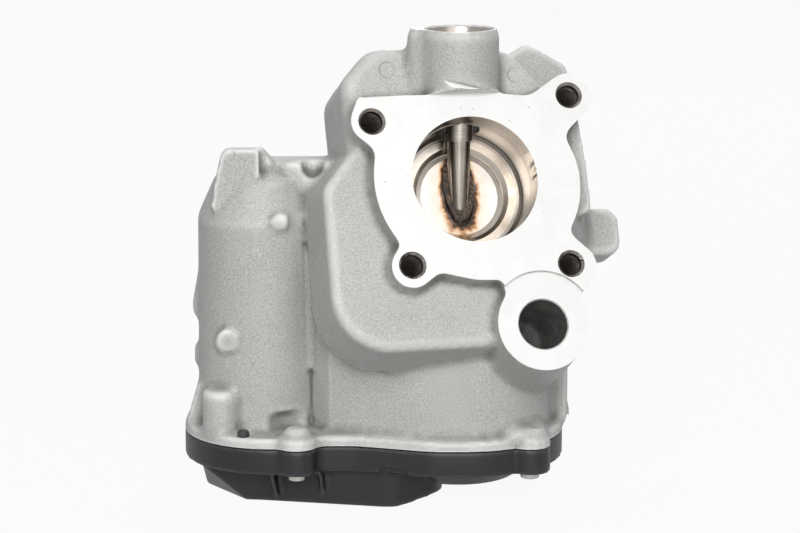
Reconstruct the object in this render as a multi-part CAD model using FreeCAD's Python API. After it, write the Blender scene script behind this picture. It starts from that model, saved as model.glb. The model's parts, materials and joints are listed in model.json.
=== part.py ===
# Motor-driven exhaust gas valve with a slanted flap shaft, in millimetres.
# Origin: centre of the gas inlet bore on the machined flange face.
# +Z runs up along the flap shaft, -Y faces the front, +X is to the right.
# The flange face is turned to the right and tilted up, so its own features are
# drawn in flange coordinates: x across the face, y up the face, z out of it.
import FreeCAD, Part
import math
import os

V = FreeCAD.Vector
os.makedirs("parts", exist_ok=True)

# Flange attitude
flange_yaw = 14.0
flange_tilt = 25.0

# Gas way, depths measured inwards from the flange face
inlet_r = 19.5
inlet_register = 7.5
bore_r = 19.3
step_chamfer = 0.8
disc_depth = 21.0
throat_r = 15.3
outlet_r = 15.6
outlet_register = 8.5
outlet_chamfer = 0.8
body_depth = 42.0

# Flap, seat and weld
disc_r = 13.7
disc_thickness = 1.6
disc_bevel = 1.5
disc_gap = 0.10
ring_r = 17.5
ring_length = 6.0
ring_land = 2.0
ring_mouth = 1.3
weld_leg = 1.3
weld_height = 0.9

# Flap shaft and its bearings
shaft_r = 3.5
bush_wall = 0.6
bush_top = 29.0
bush_below_wall = 4.6
running_gap = 0.03
lower_bush_r = 4.6
lower_bush_top = -30.0
lower_bush_length = 20.0
seal_r = 7.0
seal_length = 5.0
seal_gap = 0.02
bearing_r = 9.5
bearing_length = 6.0
circlip_thickness = 1.0
circlip_r = 9.8
notch_r = 5.6

# Flange face
flange_thickness = 5.0
hole_centres = [(-29.9, 19.0), (32.4, 25.1), (-22.1, -25.7), (26.8, -27.6)]
thread_r = 3.4
thread_depth = 18.0
rear_thread_depth = 9.0
thread_chamfer = 0.8

# Coolant port beside the flange
coolant_centre = (16.3, -45.4)
coolant_r = 7.5
coolant_chamfer = 0.4
coolant_depth = 26.0
coolant_boss_r = 14.0
coolant_boss_flare = 2.2
coolant_boss_depth = 29.0
spotface_r = 16.2
spotface_drop = 1.2

# Port boss on top, over the shaft
port_boss_r = 12.2
port_lobe_r = 5.0
port_lobe_reach = 10.6
port_top = 43.2
port_bore_r = 10.2
port_chamfer = 0.6
port_bevel = 1.2
port_floor = 31.0
plug_r = 9.0
plug_height = 5.0
plug_wall = 0.8

# Motor barrel
motor_reach = 61.5
barrel_r = 18.7
barrel_wall = 2.7
barrel_shoulder = -13.0
barrel_neck = -2.5
barrel_neck_r = 13.5
barrel_top = 3.4
barrel_crest_r = 10.6
barrel_crest = 0.4
pad_front = 4.8
pad_thickness = 5.0
pad_top = 8.3
crest_rear = 22.4
crest_slope = 20.0
pocket_centre = (-49.2, 1.4)
pocket_r = 3.3
pocket_depth = 4.5
bridge_left = -58.0
bridge_front = 10.0
bridge_rear = 32.0

# Gear case
parting = -81.5
rim_height = 3.0
floor_recess = 1.7
case_shaft_r = 31.0
case_shaft_shift = 1.8
case_motor_r = 28.0
case_motor_shift = 4.3
waist_y = -5.8
lobe_r = 6.2
screw_r = 2.0
shaft_end_screws = [(0.2, -45.9), (0.8, 112.0), (1.6, 42.4)]
motor_end_screws = [(-3.9, 123.2)]
front_screw_x = -54.0
front_screw_inset = 3.4
tall_boss = (-77.6, 2.4)
tall_boss_r = 5.6
tall_boss_height = 13.0
front_dome_r = 4.2
front_dome_height = 3.2
right_step_height = 3.0
right_step_bevel = 1.8
rear_boss_r = 5.4
rear_boss_height = 8.0
vent_centre = (-70.3, -4.4)
vent_r = 1.5
vent_rim = 0.35

# Lower body between chamber and gear case
lower_body_r = 27.4
lower_body_side = 29.2
lower_body_left = -45.0
lower_body_right = 29.6
lower_body_rear = 42.0
flare_top = -66.5
flare_length = 17.0
lower_body_top = -30.0

# Return spring round the bearing boss
spring_boss_r = 11.6
spring_wire = 2.0
spring_gap = 0.8
spring_turns = 4
spring_steps = 12
spring_sides = 8
spring_pocket_r = 16.4
spring_pocket_top = -60.0

# Gear train: modules, teeth and levels
fine_module = 0.8
coarse_module = 1.0
pinion_teeth = 16
wheel_teeth = 57
small_teeth = 16
sector_teeth = 50
sector_arc_teeth = 16
axle_offset = 4.5
backlash = 0.06
sector_drop = 1.2
sector_width = 6.0
small_drop = 2.0
stage_gap = 3.4
wheel_width = 4.6
gear_hub_r = 8.0
magnet_r = 5.0
magnet_cap = 1.0
magnet_height = 4.2
axle_r = 2.5

# Cover
cover_gap = 0.2
cover_rim_depth = 7.9
cover_skin = 2.2
wheel_to_floor = 3.9
board_thickness = 1.2
chip_height = 0.5
magnet_to_chip = 0.7
sensor_dome_r = 22.5
deep_corners = [
    (-83.6, 2.5, 1.5), (-66.0, 1.2, 6.0), (-24.0, -7.0, 10.0), (-9.4, 4.0, 10.0), (-9.4, 42.0, 14.0),
    (-24.0, 49.3, 6.0), (-48.0, 49.3, 6.0), (-70.0, 42.0, 8.0), (-83.6, 33.0, 9.0)]
corner_cut_along = 13.6
corner_cut_back = 18.5
screw_head_room = 4.0
screw_head_height = 2.2
notch_span = (-29.1, -20.5)
notch_height = 2.1
notch_depth = 1.3
rim_wall = 3.8
pillar_r = 5.4
gasket_inset = 1.0
gasket_width = 1.8
gasket_height = 2.5
gasket_ring_r = 4.4
groove_room = 0.15

# Motor
can_gap = 0.3
can_wall = 1.4
can_foot_rise = 3.8
magnet_thickness = 4.3
motor_shaft_r = 1.6
magnet_gap = 0.6
washer_height = 1.6
ear_thickness = 1.8
ear_wall = 2.3
ear_half = 2.9
motor_screw_r = 1.5
motor_screw_depth = 8.0

# Plug socket at the rear of the cover
connector_x = 1.0
connector_z = -91.0
connector_half = 9.5
connector_height = 11.0
connector_wall = 1.6
connector_root = 40.0
connector_floor = 49.0
connector_end = 66.0
pin_pitch = 3.0
pin_inner_end = 33.5
pin_reach = 10.0

# Where the seam of turned shapes lies, away from the fused neighbours
seam_angle = 100.0

# Flange frame worked out from its attitude
yaw = math.radians(flange_yaw)
tilt = math.radians(flange_tilt)
across = V(math.cos(yaw), math.sin(yaw), 0)
normal = V(math.sin(yaw) * math.cos(tilt), -math.cos(yaw) * math.cos(tilt), math.sin(tilt))
up_face = normal.cross(across)
flange_frame = FreeCAD.Placement(FreeCAD.Matrix(
    across.x, up_face.x, normal.x, 0,
    across.y, up_face.y, normal.y, 0,
    across.z, up_face.z, normal.z, 0,
    0, 0, 0, 1))
disc_centre = normal * -disc_depth
shaft_x = disc_centre.x
shaft_y = disc_centre.y

# Gear centres worked out from modules and teeth
sector_r = coarse_module * sector_teeth / 2
small_r = coarse_module * small_teeth / 2
wheel_r = fine_module * wheel_teeth / 2
pinion_r = fine_module * pinion_teeth / 2
axle_y = shaft_y + axle_offset
axle_x = shaft_x - math.sqrt((sector_r + small_r) ** 2 - axle_offset ** 2)
motor_y = shaft_y
motor_x = axle_x - math.sqrt((wheel_r + pinion_r) ** 2 - axle_offset ** 2)

# Levels worked out from the parting plane
ledge_z = parting + rim_height
floor_z = parting + floor_recess
cover_top = parting - cover_gap
rim_bottom = cover_top - cover_rim_depth
sector_top = floor_z - sector_drop
sector_foot = sector_top - sector_width
small_top = sector_top - small_drop
wheel_top = sector_foot - stage_gap
wheel_foot = wheel_top - wheel_width
deep_floor = wheel_foot - wheel_to_floor - cover_skin
magnet_foot = sector_foot - magnet_height
sensor_floor = magnet_foot - magnet_to_chip - chip_height - board_thickness - cover_skin
motor_bore_r = barrel_r - barrel_wall
case_right = shaft_x + case_shaft_shift + case_shaft_r
can_r = motor_bore_r - can_gap
can_top = barrel_shoulder - 1.0 - washer_height
can_foot = floor_z + can_foot_rise
rotor_r = can_r - can_wall - magnet_thickness - magnet_gap
ear_reach = motor_bore_r + ear_wall
ear_places = [(motor_x + ear_reach, motor_y), (motor_x, motor_y + ear_reach)]


def around(x, y, r, angle):
    return (x + r * math.cos(math.radians(angle)), y + r * math.sin(math.radians(angle)))


# Cover screws: one at the front, the others round the two ends of the case
front_screw = (front_screw_x, motor_y - case_motor_r + front_screw_inset)
screw_centres = [front_screw]
screw_centres += [around(shaft_x, shaft_y, case_shaft_r + out, angle) for out, angle in shaft_end_screws]
screw_centres += [around(motor_x + case_motor_shift, motor_y, case_motor_r + out, angle)
                  for out, angle in motor_end_screws]


def placed(shape):
    """Puts a shape drawn in flange coordinates into the valve's own frame."""
    moved = shape.copy()
    moved.Placement = flange_frame.multiply(moved.Placement)
    return moved


def cylinder(r, z0, z1, x=0.0, y=0.0):
    return Part.makeCylinder(r, z1 - z0, V(x, y, z0))


def cone(r0, r1, z0, z1, x=0.0, y=0.0):
    return Part.makeCone(r0, r1, z1 - z0, V(x, y, z0))


def tube(r_out, r_in, z0, z1, x=0.0, y=0.0):
    return cylinder(r_out, z0, z1, x, y).cut(cylinder(r_in, z0 - 1, z1 + 1, x, y))


def turned(profile, x=0.0, y=0.0):
    """Revolves a closed (radius, height) profile about a vertical axis, its seam to the rear."""
    wire = Part.makePolygon([V(r, 0, z) for r, z in profile + profile[:1]])
    solid = Part.Face(wire).revolve(V(0, 0, 0), V(0, 0, 1), 360)
    solid.rotate(V(), V(0, 0, 1), seam_angle)
    solid.translate(V(x, y, 0))
    return solid


def outline(corners, z=0.0):
    """Closed wire of straight runs and tangent arcs through (x, y, corner radius)."""
    starts = []
    ends = []
    middles = []
    count = len(corners)
    for i in range(count):
        x, y, r = corners[i]
        here = V(x, y, z)
        back = (V(corners[i - 1][0], corners[i - 1][1], z) - here).normalize()
        ahead = (V(corners[(i + 1) % count][0], corners[(i + 1) % count][1], z) - here).normalize()
        half = back.getAngle(ahead) / 2
        reach = r / math.tan(half)
        starts.append(here + back * reach)
        ends.append(here + ahead * reach)
        middles.append(here + (back + ahead).normalize() * (r / math.sin(half) - r))
    edges = []
    for i in range(count):
        if corners[i][2] > 0:
            edges.append(Part.Arc(starts[i], middles[i], ends[i]).toShape())
        after = starts[(i + 1) % count]
        if ends[i].distanceToPoint(after) > 1e-4:
            edges.append(Part.LineSegment(ends[i], after).toShape())
    return Part.Wire(Part.__sortEdges__(edges))


def slab(corners, z0, z1):
    return Part.Face(outline(corners, z0)).extrude(V(0, 0, z1 - z0))


def grown(corners, by):
    """The same outline with every side moved outwards and its radii changed to suit."""
    count = len(corners)
    area = sum(corners[i - 1][0] * corners[i][1] - corners[i][0] * corners[i - 1][1] for i in range(count))
    turn = 1 if area > 0 else -1
    moved = []
    for i in range(count):
        x, y, r = corners[i]
        before = V(x - corners[i - 1][0], y - corners[i - 1][1], 0).normalize()
        after = V(corners[(i + 1) % count][0] - x, corners[(i + 1) % count][1] - y, 0).normalize()
        side_a = V(before.y, -before.x, 0) * turn
        side_b = V(after.y, -after.x, 0) * turn
        shift = (side_a + side_b) * (by / (1 + side_a.dot(side_b)))
        bulge = turn * before.cross(after).z
        moved.append((x + shift.x, y + shift.y, max(r + (by if bulge > 0 else -by), 0.2) if r > 0 else 0))
    return moved


def drafted(corners, z0, z1, spread):
    """Slab whose outline grows outwards by spread from z0 to z1."""
    return Part.makeLoft([outline(corners, z0), outline(grown(corners, spread), z1)], True, True)


def at_height(z):
    """Picks the edges that lie in one horizontal plane."""
    return lambda edge: edge.BoundBox.ZMin > z - 1e-3 and edge.BoundBox.ZMax < z + 1e-3


def rounded(shape, radius, pick):
    return shape.makeFillet(radius, [edge for edge in shape.Edges if pick(edge)])


def bevelled(shape, size, pick):
    return shape.makeChamfer(size, [edge for edge in shape.Edges if pick(edge)])


def fused(first, others):
    return first.multiFuse(others).removeSplitter()


# Outlines in flange coordinates, each with its corner radii
plate_corners = [
    (-33.3, 27.0, 0.8), (-37.8, 17.2, 6.3), (-29.6, 10.2, 4.0), (-33.0, -5.8, 30.6), (-24.9, -19.2, 1.8),
    (-30.4, -27.0, 6.1), (-22.9, -34.4, 6.1), (-14.0, -28.2, 3.0), (-3.0, -31.2, 20.0), (5.0, -31.4, 1.5),
    (8.0, -44.0, 0.5), (28.5, -44.0, 0.5), (29.0, -36.6, 2.0), (37.7, -28.4, 6.6), (27.2, -18.0, 2.5),
    (36.0, -3.1, 26.5), (29.2, 12.6, 4.0), (41.9, 24.0, 6.7), (34.2, 34.5, 6.7), (20.0, 25.3, 6.0),
    (10.0, 26.4, 10.0)]
chamber_corners = [
    (-36.8, -22.0, 10.0), (-36.8, 34.0, 9.0), (-27.0, 44.4, 10.0), (12.0, 43.4, 6.0), (18.5, 41.5, 5.0),
    (29.5, 27.0, 3.0), (33.0, 14.0, 8.0), (32.0, -20.0, 8.0), (22.0, -31.0, 8.0), (-24.0, -31.0, 10.0)]
duct_corners = [
    (-28.0, 14.5, 0), (-35.0, 12.6, 0), (-45.3, 0.4, 6.0), (-46.2, -49.9, 17.5), (10.0, -49.9, 0),
    (10.0, -24.0, 0), (-24.0, -24.0, 0)]
rear_corners = [
    (-35.0, 38.0, 8.0), (-24.0, 45.0, 8.0), (17.5, 44.9, 5.0), (30.6, 52.5, 3.0), (43.4, 44.6, 3.0),
    (43.6, -3.0, 1.5), (54.0, -3.0, 4.5), (54.0, -18.2, 4.5), (40.0, -18.2, 3.0), (24.0, -29.5, 8.0),
    (-30.0, -29.5, 6.0), (-35.0, -18.0, 6.0)]
right_step = [(7.5, -8.9, 5.0), (22.2, -8.9, 5.0), (22.2, 12.0, 2.5), (7.5, 12.0, 2.5)]
cheek_near = [(0.0, 24.0, 1.0), (30.5, 24.0, 4.0), (30.5, -17.0, 4.0), (0.0, -17.0, 1.0)]
cheek_far = [(0.0, 26.0, 1.0), (43.0, 26.0, 4.0), (43.0, -17.0, 4.0), (0.0, -17.0, 1.0)]
ear_boss_r = 6.4
ear_boss_depth = 22.0
rear_depth = 30.0
rear_face_foot = -30.5
plate_crest = 26.8
facet_level = 3.6
facet_corners = [(-20.0, 26.0), (7.2, 26.0), (-8.2, 30.2), (-20.0, 33.4)]
rear_holes = [(31.6, 45.2), (46.8, -10.6), (-27.0, 36.4), (-25.0, -22.6)]


def case_corners():
    """Gear case in plan: round about the shaft and the motor, with a waist between."""
    right = case_right
    left = motor_x + case_motor_shift - case_motor_r
    front = shaft_y - case_shaft_r
    rear = shaft_y + case_shaft_r
    left_front = motor_y - case_motor_r
    left_rear = motor_y + case_motor_r
    return [
        (right, front, case_shaft_r), (right, rear, case_shaft_r), (-40.0, rear, 12.0),
        (-54.0, left_rear, 12.0), (left, left_rear, case_motor_r), (left, left_front, case_motor_r),
        (-50.5, left_front, 2.0), (-46.0, waist_y, 3.0), (-36.0, waist_y, 10.0), (-13.0, front, 20.0)]


def case_slab(inset, z0, z1):
    wire = outline(case_corners(), z0)
    if inset:
        wire = wire.makeOffset2D(-inset)
    return Part.Face(wire).extrude(V(0, 0, z1 - z0))


def at_screws(make):
    return [make(x, y) for x, y in screw_centres]


def flange_plate():
    """Machined face plate with its four ears."""
    return placed(slab(plate_corners, -flange_thickness - 2.0, 0))


def chamber_block():
    """Thick-walled block behind the plate, its crown rounded to the front."""
    front = -flange_thickness
    block = slab(chamber_corners, -rear_depth, front)
    return placed(rounded(block, 4.5, at_height(front)))


def right_cheek():
    """Wall that flares from the plate to the rear flange."""
    near = outline(cheek_near, -flange_thickness + 1.0)
    return placed(Part.makeLoft([near, outline(cheek_far, -rear_depth)], True, True))


def ear_bosses():
    """Bosses behind the ears that stand outside the block."""
    return [placed(cylinder(ear_boss_r, -ear_boss_depth, -1.0, x, y)) for x, y in hole_centres]


def rear_flange():
    """Flange with bolt ears that carries the gas outlet."""
    block = slab(rear_corners, -body_depth, -rear_depth)
    return placed(bevelled(block, 1.0, at_height(-rear_depth)))


def coolant_duct():
    """Water jacket that wraps the left and the foot of the plate."""
    front = -flange_thickness
    duct = drafted(duct_corners, front, -24.0, 3.0)
    return placed(rounded(duct, 2.5, at_height(front)))


def coolant_boss():
    x, y = coolant_centre
    body = cone(coolant_boss_r + coolant_boss_flare, coolant_boss_r, -coolant_boss_depth, -spotface_drop, x, y)
    return placed(rounded(body, 4.0, at_height(-coolant_boss_depth)))


def port_boss():
    """Round boss on the shaft axis with a smaller lobe fused to its left."""
    foot = 14.0
    main = bevelled(cylinder(port_boss_r, foot, port_top, shaft_x, shaft_y), port_bevel, at_height(port_top))
    lobe_x = shaft_x - port_lobe_reach
    corners = [
        (lobe_x - port_lobe_r, shaft_y - port_lobe_r, port_lobe_r - 0.1),
        (shaft_x, shaft_y - port_lobe_r, 0), (shaft_x, shaft_y + port_lobe_r, 0),
        (lobe_x - port_lobe_r, shaft_y + port_lobe_r, port_lobe_r - 0.1)]
    lobe = drafted(corners, port_top, foot, 2.2)
    return main.fuse(bevelled(lobe, port_bevel, at_height(port_top)))


def lower_body():
    """Upright body round the shaft, from the chamber down to the gear case."""
    corners = [
        (lower_body_left, 1.4, 1.5), (shaft_x - 14.0, shaft_y - lower_body_r, 26.0),
        (shaft_x + lower_body_side, shaft_y - lower_body_r, 26.0), (shaft_x + lower_body_side, 14.0, 1.5),
        (lower_body_right, 14.0, 1.5), (lower_body_right, lower_body_rear, 8.0),
        (lower_body_left, lower_body_rear, 8.0)]
    return slab(corners, ledge_z - 0.5, lower_body_top)


def bridge():
    """Wall that ties the barrel to the chamber over its full height."""
    corners = [
        (bridge_left, bridge_front, 2.0), (-36.0, bridge_front, 2.0), (-36.0, bridge_rear, 2.0),
        (bridge_left, bridge_rear, 2.0)]
    block = bevelled(slab(corners, ledge_z - 0.5, barrel_top), 1.0, at_height(barrel_top))
    x, z = pocket_centre
    pocket = Part.makeCylinder(pocket_r, pocket_depth + 1, V(x, bridge_front - 1, z), V(0, 1, 0))
    mouth = Part.makeBox(2 * pocket_r, pocket_depth + 1, 10, V(x - pocket_r, bridge_front - 1, z))
    return block.cut(pocket).cut(mouth).cut(crest_cut())


def crest_cut():
    """Space above the barrel's top where it falls away to the rear."""
    far = 60.0
    drop = (far - crest_rear) * math.tan(math.radians(crest_slope))
    corners = [V(-100, crest_rear, barrel_top), V(-100, far, barrel_top - drop), V(-100, far, 30),
               V(-100, crest_rear, 30), V(-100, crest_rear, barrel_top)]
    return Part.Face(Part.makePolygon(corners)).extrude(V(70, 0, 0))


def motor_barrel():
    """Barrel with a sloping shoulder and a closed neck."""
    body = turned([
        (0, ledge_z - 0.5), (barrel_r + 0.6, ledge_z - 0.5), (barrel_r, barrel_shoulder - 1.5),
        (barrel_r - 0.9, barrel_shoulder + 1.0), (barrel_neck_r, barrel_neck), (barrel_crest_r, barrel_crest),
        (barrel_crest_r, barrel_top), (0, barrel_top)], motor_x, motor_y)
    return bevelled(body, 0.8, at_height(barrel_top)).cut(crest_cut())


def barrel_lugs():
    """Cast pads and lugs on the outside of the barrel."""
    right = motor_x + 0.9
    face = [
        V(motor_x - 8.8, pad_front, pad_top), V(right, pad_front, pad_top), V(right, pad_front, -0.3),
        V(right - 3.7, pad_front, -3.7), V(right - 11.3, pad_front, -9.4), V(motor_x - 13.2, pad_front, -11.2),
        V(motor_x - 13.7, pad_front, -8.9), V(motor_x - 12.5, pad_front, -1.8), V(motor_x - 10.6, pad_front, 6.6)]
    plate = Part.Face(Part.makePolygon(face + face[:1]))
    pad = plate.extrude(V(0, pad_thickness, 0))
    backing = plate.extrude(V(0, motor_y - pad_front, 0)).cut(
        Part.makeBox(40, 40, 20, V(motor_x - 20, pad_front, barrel_top - 0.5)))
    wing = Part.Face(Part.makePolygon([
        V(right - 1, 7.5, pad_top), V(right + 0.4, 7.5, pad_top), V(right + 3.8, 7.5, barrel_top + 0.8),
        V(right + 3.8, 7.5, barrel_top - 1), V(right - 1, 7.5, barrel_top - 1),
        V(right - 1, 7.5, pad_top)])).extrude(V(0, 6.5, 0))
    disc = Part.makeCylinder(3.4, 8.0, V(motor_x - 9.6, 0.8, -51.0), V(0, 1, 0))
    mark = Part.makeCylinder(2.4, 6.0, V(motor_x + 7.6, 0.5, -13.9), V(0, 1, 0))
    bump = Part.makeCylinder(3.0, 6.0, V(motor_x - barrel_r - 1.6, motor_y, -58.4), V(1, 0, 0))
    left = motor_x - barrel_r
    hook = Part.Face(Part.makePolygon([
        V(left + 4, motor_y - 3, -30), V(left - 0.2, motor_y - 3, -32), V(left - 2.2, motor_y - 3, -42.5),
        V(left - 1.6, motor_y - 3, -45.5), V(left + 4, motor_y - 3, -47),
        V(left + 4, motor_y - 3, -30)])).extrude(V(0, 6, 0))
    gusset = Part.Face(Part.makePolygon([
        V(left + 4, 10, -64), V(left - 0.4, 10, -66), V(left - 4.2, 10, ledge_z - 0.5),
        V(left + 4, 10, ledge_z - 0.5), V(left + 4, 10, -64)])).extrude(V(0, 14, 0))
    right = lower_body_right
    flare = Part.Face(Part.makePolygon([
        V(right - 5, 24, flare_top), V(right, 24, flare_top - 6), V(right + 1.3, 24, flare_top - 12),
        V(right + 1.1, 24, flare_top - 13.5), V(case_right - 0.4, 24, ledge_z - 0.5),
        V(right - 5, 24, ledge_z - 0.5), V(right - 5, 24, flare_top)])).extrude(V(0, flare_length, 0))
    x, y = ear_places[1]
    screw_boss = cone(5.0, 4.4, ledge_z - 0.5, floor_z + motor_screw_depth + 3.0, x, y)
    return [pad, backing, wing, disc, mark, bump, hook, gusset, flare, screw_boss]


def ledge_boss(x, y, r, height, bevel):
    top = ledge_z + height
    return bevelled(cylinder(r, ledge_z - 1.0, top, x, y), bevel, at_height(top))


def ledge_bosses():
    """Screw bosses on the ledge: low domes in front, higher ones behind, and a tall one by the barrel."""
    bosses = [
        ledge_boss(*screw_centres[0], front_dome_r, front_dome_height, 1.6),
        bevelled(slab(right_step, ledge_z - 1.0, ledge_z + right_step_height), right_step_bevel,
                 at_height(ledge_z + right_step_height)),
        ledge_boss(*tall_boss, tall_boss_r, tall_boss_height, 1.2)]
    bosses += [ledge_boss(x, y, rear_boss_r, rear_boss_height, 1.0) for x, y in screw_centres[2:]]
    bosses += at_screws(lambda x, y: bevelled(cylinder(lobe_r, parting, ledge_z, x, y), 0.6, at_height(ledge_z)))
    return bosses


def housing_outside():
    rim = bevelled(case_slab(0, parting, ledge_z), 0.6, at_height(ledge_z))
    parts = [
        chamber_block(), right_cheek(), rear_flange(), coolant_duct(), coolant_boss(),
        port_boss(), lower_body(), bridge(), motor_barrel(), rim]
    return flange_plate().multiFuse(parts + ear_bosses() + barrel_lugs() + ledge_bosses())


def face_mill_sweep():
    """Space that the face mill clears in front of the plate."""
    low, high = -70.0, plate_crest
    corners = [V(-60, low, 0), V(60, low, 0), V(60, high, 0), V(-60, high, 0), V(-60, low, 0)]
    return placed(Part.Face(Part.makePolygon(corners)).extrude(V(0, 0, 40)))


def facet_sweep():
    """Small flat that the mill leaves on the port boss, above the plate."""
    corners = [V(x, y, facet_level) for x, y in facet_corners + facet_corners[:1]]
    return placed(Part.Face(Part.makePolygon(corners)).extrude(V(0, 0, 40)))


def rear_mill_sweep():
    """Space that the face mill clears behind the outlet flange."""
    low, high, deep = rear_face_foot, 70.0, -body_depth - 60.0
    corners = [V(-37, low, deep), V(62, low, deep), V(62, high, deep), V(-37, high, deep), V(-37, low, deep)]
    return placed(Part.Face(Part.makePolygon(corners)).extrude(V(0, 0, 60)))


def gas_way():
    """Inlet register and bore, ring seat, throat and outlet register, on one axis."""
    front = -disc_depth + ring_length / 2
    rear = -disc_depth - ring_length / 2
    register = -body_depth + outlet_register
    return placed(turned([
        (0, 1), (inlet_r, 1), (inlet_r, -inlet_register), (bore_r, -inlet_register),
        (bore_r, front + step_chamfer), (bore_r - step_chamfer, front), (ring_r, front), (ring_r, rear),
        (throat_r, rear), (throat_r, register), (outlet_r, register), (outlet_r, -body_depth + outlet_chamfer),
        (outlet_r + outlet_chamfer + 1, -body_depth - 1), (0, -body_depth - 1)]))


def tapped_hole(x, y, face, direction, depth):
    """Blind tapped hole from a face, with a countersunk mouth and a drill point."""
    profile = [
        (0, 1), (thread_r + thread_chamfer + 1, 1), (thread_r, -thread_chamfer), (thread_r, -depth),
        (0, -depth - thread_r * 0.6)]
    hole = turned(profile)
    if direction < 0:
        hole.rotate(V(), V(1, 0, 0), 180)
    hole.translate(V(x, y, face))
    return placed(hole)


def housing_holes():
    """Every bore that opens to the outside."""
    x, y = coolant_centre
    coolant = turned([
        (0, 5), (coolant_r + coolant_chamfer + 5, 5), (coolant_r + coolant_chamfer, -spotface_drop),
        (coolant_r, -spotface_drop - coolant_chamfer), (coolant_r, -coolant_depth),
        (0, -coolant_depth - coolant_r * 0.5)], x, y)
    cuts = [gas_way(), placed(coolant), placed(cylinder(spotface_r, -spotface_drop, 30, x, y))]
    cuts += [tapped_hole(hx, hy, 0, 1, thread_depth) for hx, hy in hole_centres]
    cuts += [tapped_hole(hx, hy, -body_depth, -1, rear_thread_depth) for hx, hy in rear_holes]
    return cuts


def shaft_way():
    """Stepped bore for the shaft, its bushes, seal and bearing, and the port above."""
    sleeve_r = shaft_r + bush_wall
    mouth = turned([
        (0, port_floor), (plug_r, port_floor), (plug_r, port_floor + plug_height),
        (port_bore_r, port_floor + plug_height), (port_bore_r, port_top - port_chamfer),
        (port_bore_r + port_chamfer, port_top), (port_bore_r + port_chamfer, port_top + 1),
        (0, port_top + 1)], shaft_x, shaft_y)
    bush_foot = lower_bush_top - lower_bush_length
    lower = turned([
        (0, -20), (lower_bush_r, -20), (lower_bush_r, bush_foot), (seal_r, bush_foot),
        (seal_r, bush_foot - seal_length - 3), (shaft_r + 1, bush_foot - seal_length - 3),
        (shaft_r + 1, floor_z), (0, floor_z)], shaft_x, shaft_y)
    upper = cylinder(sleeve_r, 5, port_floor + 1, shaft_x, shaft_y)
    spot = cylinder(notch_r + 0.8, 0, bush_mouth(), shaft_x, shaft_y)
    seat = cylinder(bearing_r, floor_z - 1, bearing_top(), shaft_x, shaft_y)
    groove = cylinder(circlip_r, floor_z + 0.6, floor_z + 0.6 + circlip_thickness, shaft_x, shaft_y)
    return [mouth, lower, upper, spot, seat, groove]


def bush_mouth():
    """Height at which the sleeve leaves the upper wall of the gas bore."""
    return 13.5


def bearing_top():
    return floor_z + bearing_length + circlip_thickness + 0.6


def gear_pocket():
    """Recess in the gear case roof, clear of the screws, with the spring pocket."""
    recess = case_slab(rim_wall, parting - 1, floor_z)
    for x, y in screw_centres:
        recess = recess.cut(cylinder(pillar_r, parting - 2, floor_z + 1, x, y))
    spring = tube(spring_pocket_r, spring_boss_r, floor_z - 1, spring_pocket_top, shaft_x, shaft_y)
    motor = cylinder(barrel_r - barrel_wall, parting - 2, barrel_shoulder - 1.0, motor_x, motor_y)
    nose = cylinder(7.0, barrel_shoulder - 3, barrel_shoulder + 4.5, motor_x, motor_y)
    axle = cylinder(axle_r, floor_z - 1, floor_z + 7.0, axle_x, axle_y)
    screws = at_screws(lambda x, y: cylinder(screw_r, parting - 1, ledge_z + 2.0, x, y))
    screws += [cylinder(motor_screw_r, floor_z - 1, floor_z + motor_screw_depth + 0.6, x, y) for x, y in ear_places]
    return [recess, spring, motor, nose, axle] + screws


def recess_at_front_screw():
    """Relief beside the front left screw dome, cut into the barrel's foot."""
    x, y = screw_centres[0]
    return cylinder(11.4, ledge_z, ledge_z + 5.6, x + 0.6, y)


def valve_housing():
    body = housing_outside().cut(recess_at_front_screw())
    body = body.cut(face_mill_sweep()).cut(facet_sweep()).cut(rear_mill_sweep())
    body = body.fuse(ledge_boss(*screw_centres[0], front_dome_r, front_dome_height, 1.6))
    for cutter in housing_holes() + shaft_way() + gear_pocket() + [plug_seat()]:
        body = body.cut(cutter)
    return body


def plug_seat():
    return cylinder(vent_r, floor_z - 1, ledge_z + 1, *vent_centre)


def seat_ring():
    """Stainless ring with a short cylindrical land at the disc."""
    front = -disc_depth + ring_length / 2
    rear = -disc_depth - ring_length / 2
    land = disc_r + disc_gap
    ring = placed(turned([
        (ring_r, front), (land + ring_mouth, front), (land, -disc_depth + ring_land),
        (land, -disc_depth - ring_land), (land + ring_mouth, rear), (ring_r, rear)]))
    return ring.cut(cylinder(notch_r, -60, 60, shaft_x, shaft_y))


def valve_shaft():
    top = port_floor - 1.0
    foot = sector_foot - 1.0
    return turned([
        (0, foot), (shaft_r - 0.5, foot), (shaft_r, foot + 0.5), (shaft_r, top - 0.5),
        (shaft_r - 0.5, top), (0, top)], shaft_x, shaft_y)


def flap_disc():
    half = disc_thickness / 2
    disc = placed(turned([
        (0, -disc_depth - half), (disc_r - disc_bevel, -disc_depth - half), (disc_r, -disc_depth - 0.2),
        (disc_r, -disc_depth + 0.2), (disc_r - disc_bevel, -disc_depth + half), (0, -disc_depth + half)]))
    return disc.cut(cylinder(shaft_r, -40, 40, shaft_x, shaft_y))


def weld_beads():
    """Fillet weld round the slanted shaft on both faces of the disc."""
    half = disc_thickness / 2
    beads = []
    for side in (1, -1):
        near = side * half - disc_depth
        far = side * (half + weld_height) - disc_depth
        layer = placed(cylinder(disc_r - disc_bevel, min(near, far), max(near, far)))
        bead = layer.common(cylinder(shaft_r + weld_leg, -40, 40, shaft_x, shaft_y))
        beads.append(bead.cut(cylinder(shaft_r, -40, 40, shaft_x, shaft_y)))
    return Part.makeCompound(beads)


def upper_bush():
    return tube(shaft_r + bush_wall, shaft_r + running_gap, bush_mouth() - bush_below_wall, bush_top,
                shaft_x, shaft_y)


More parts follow.
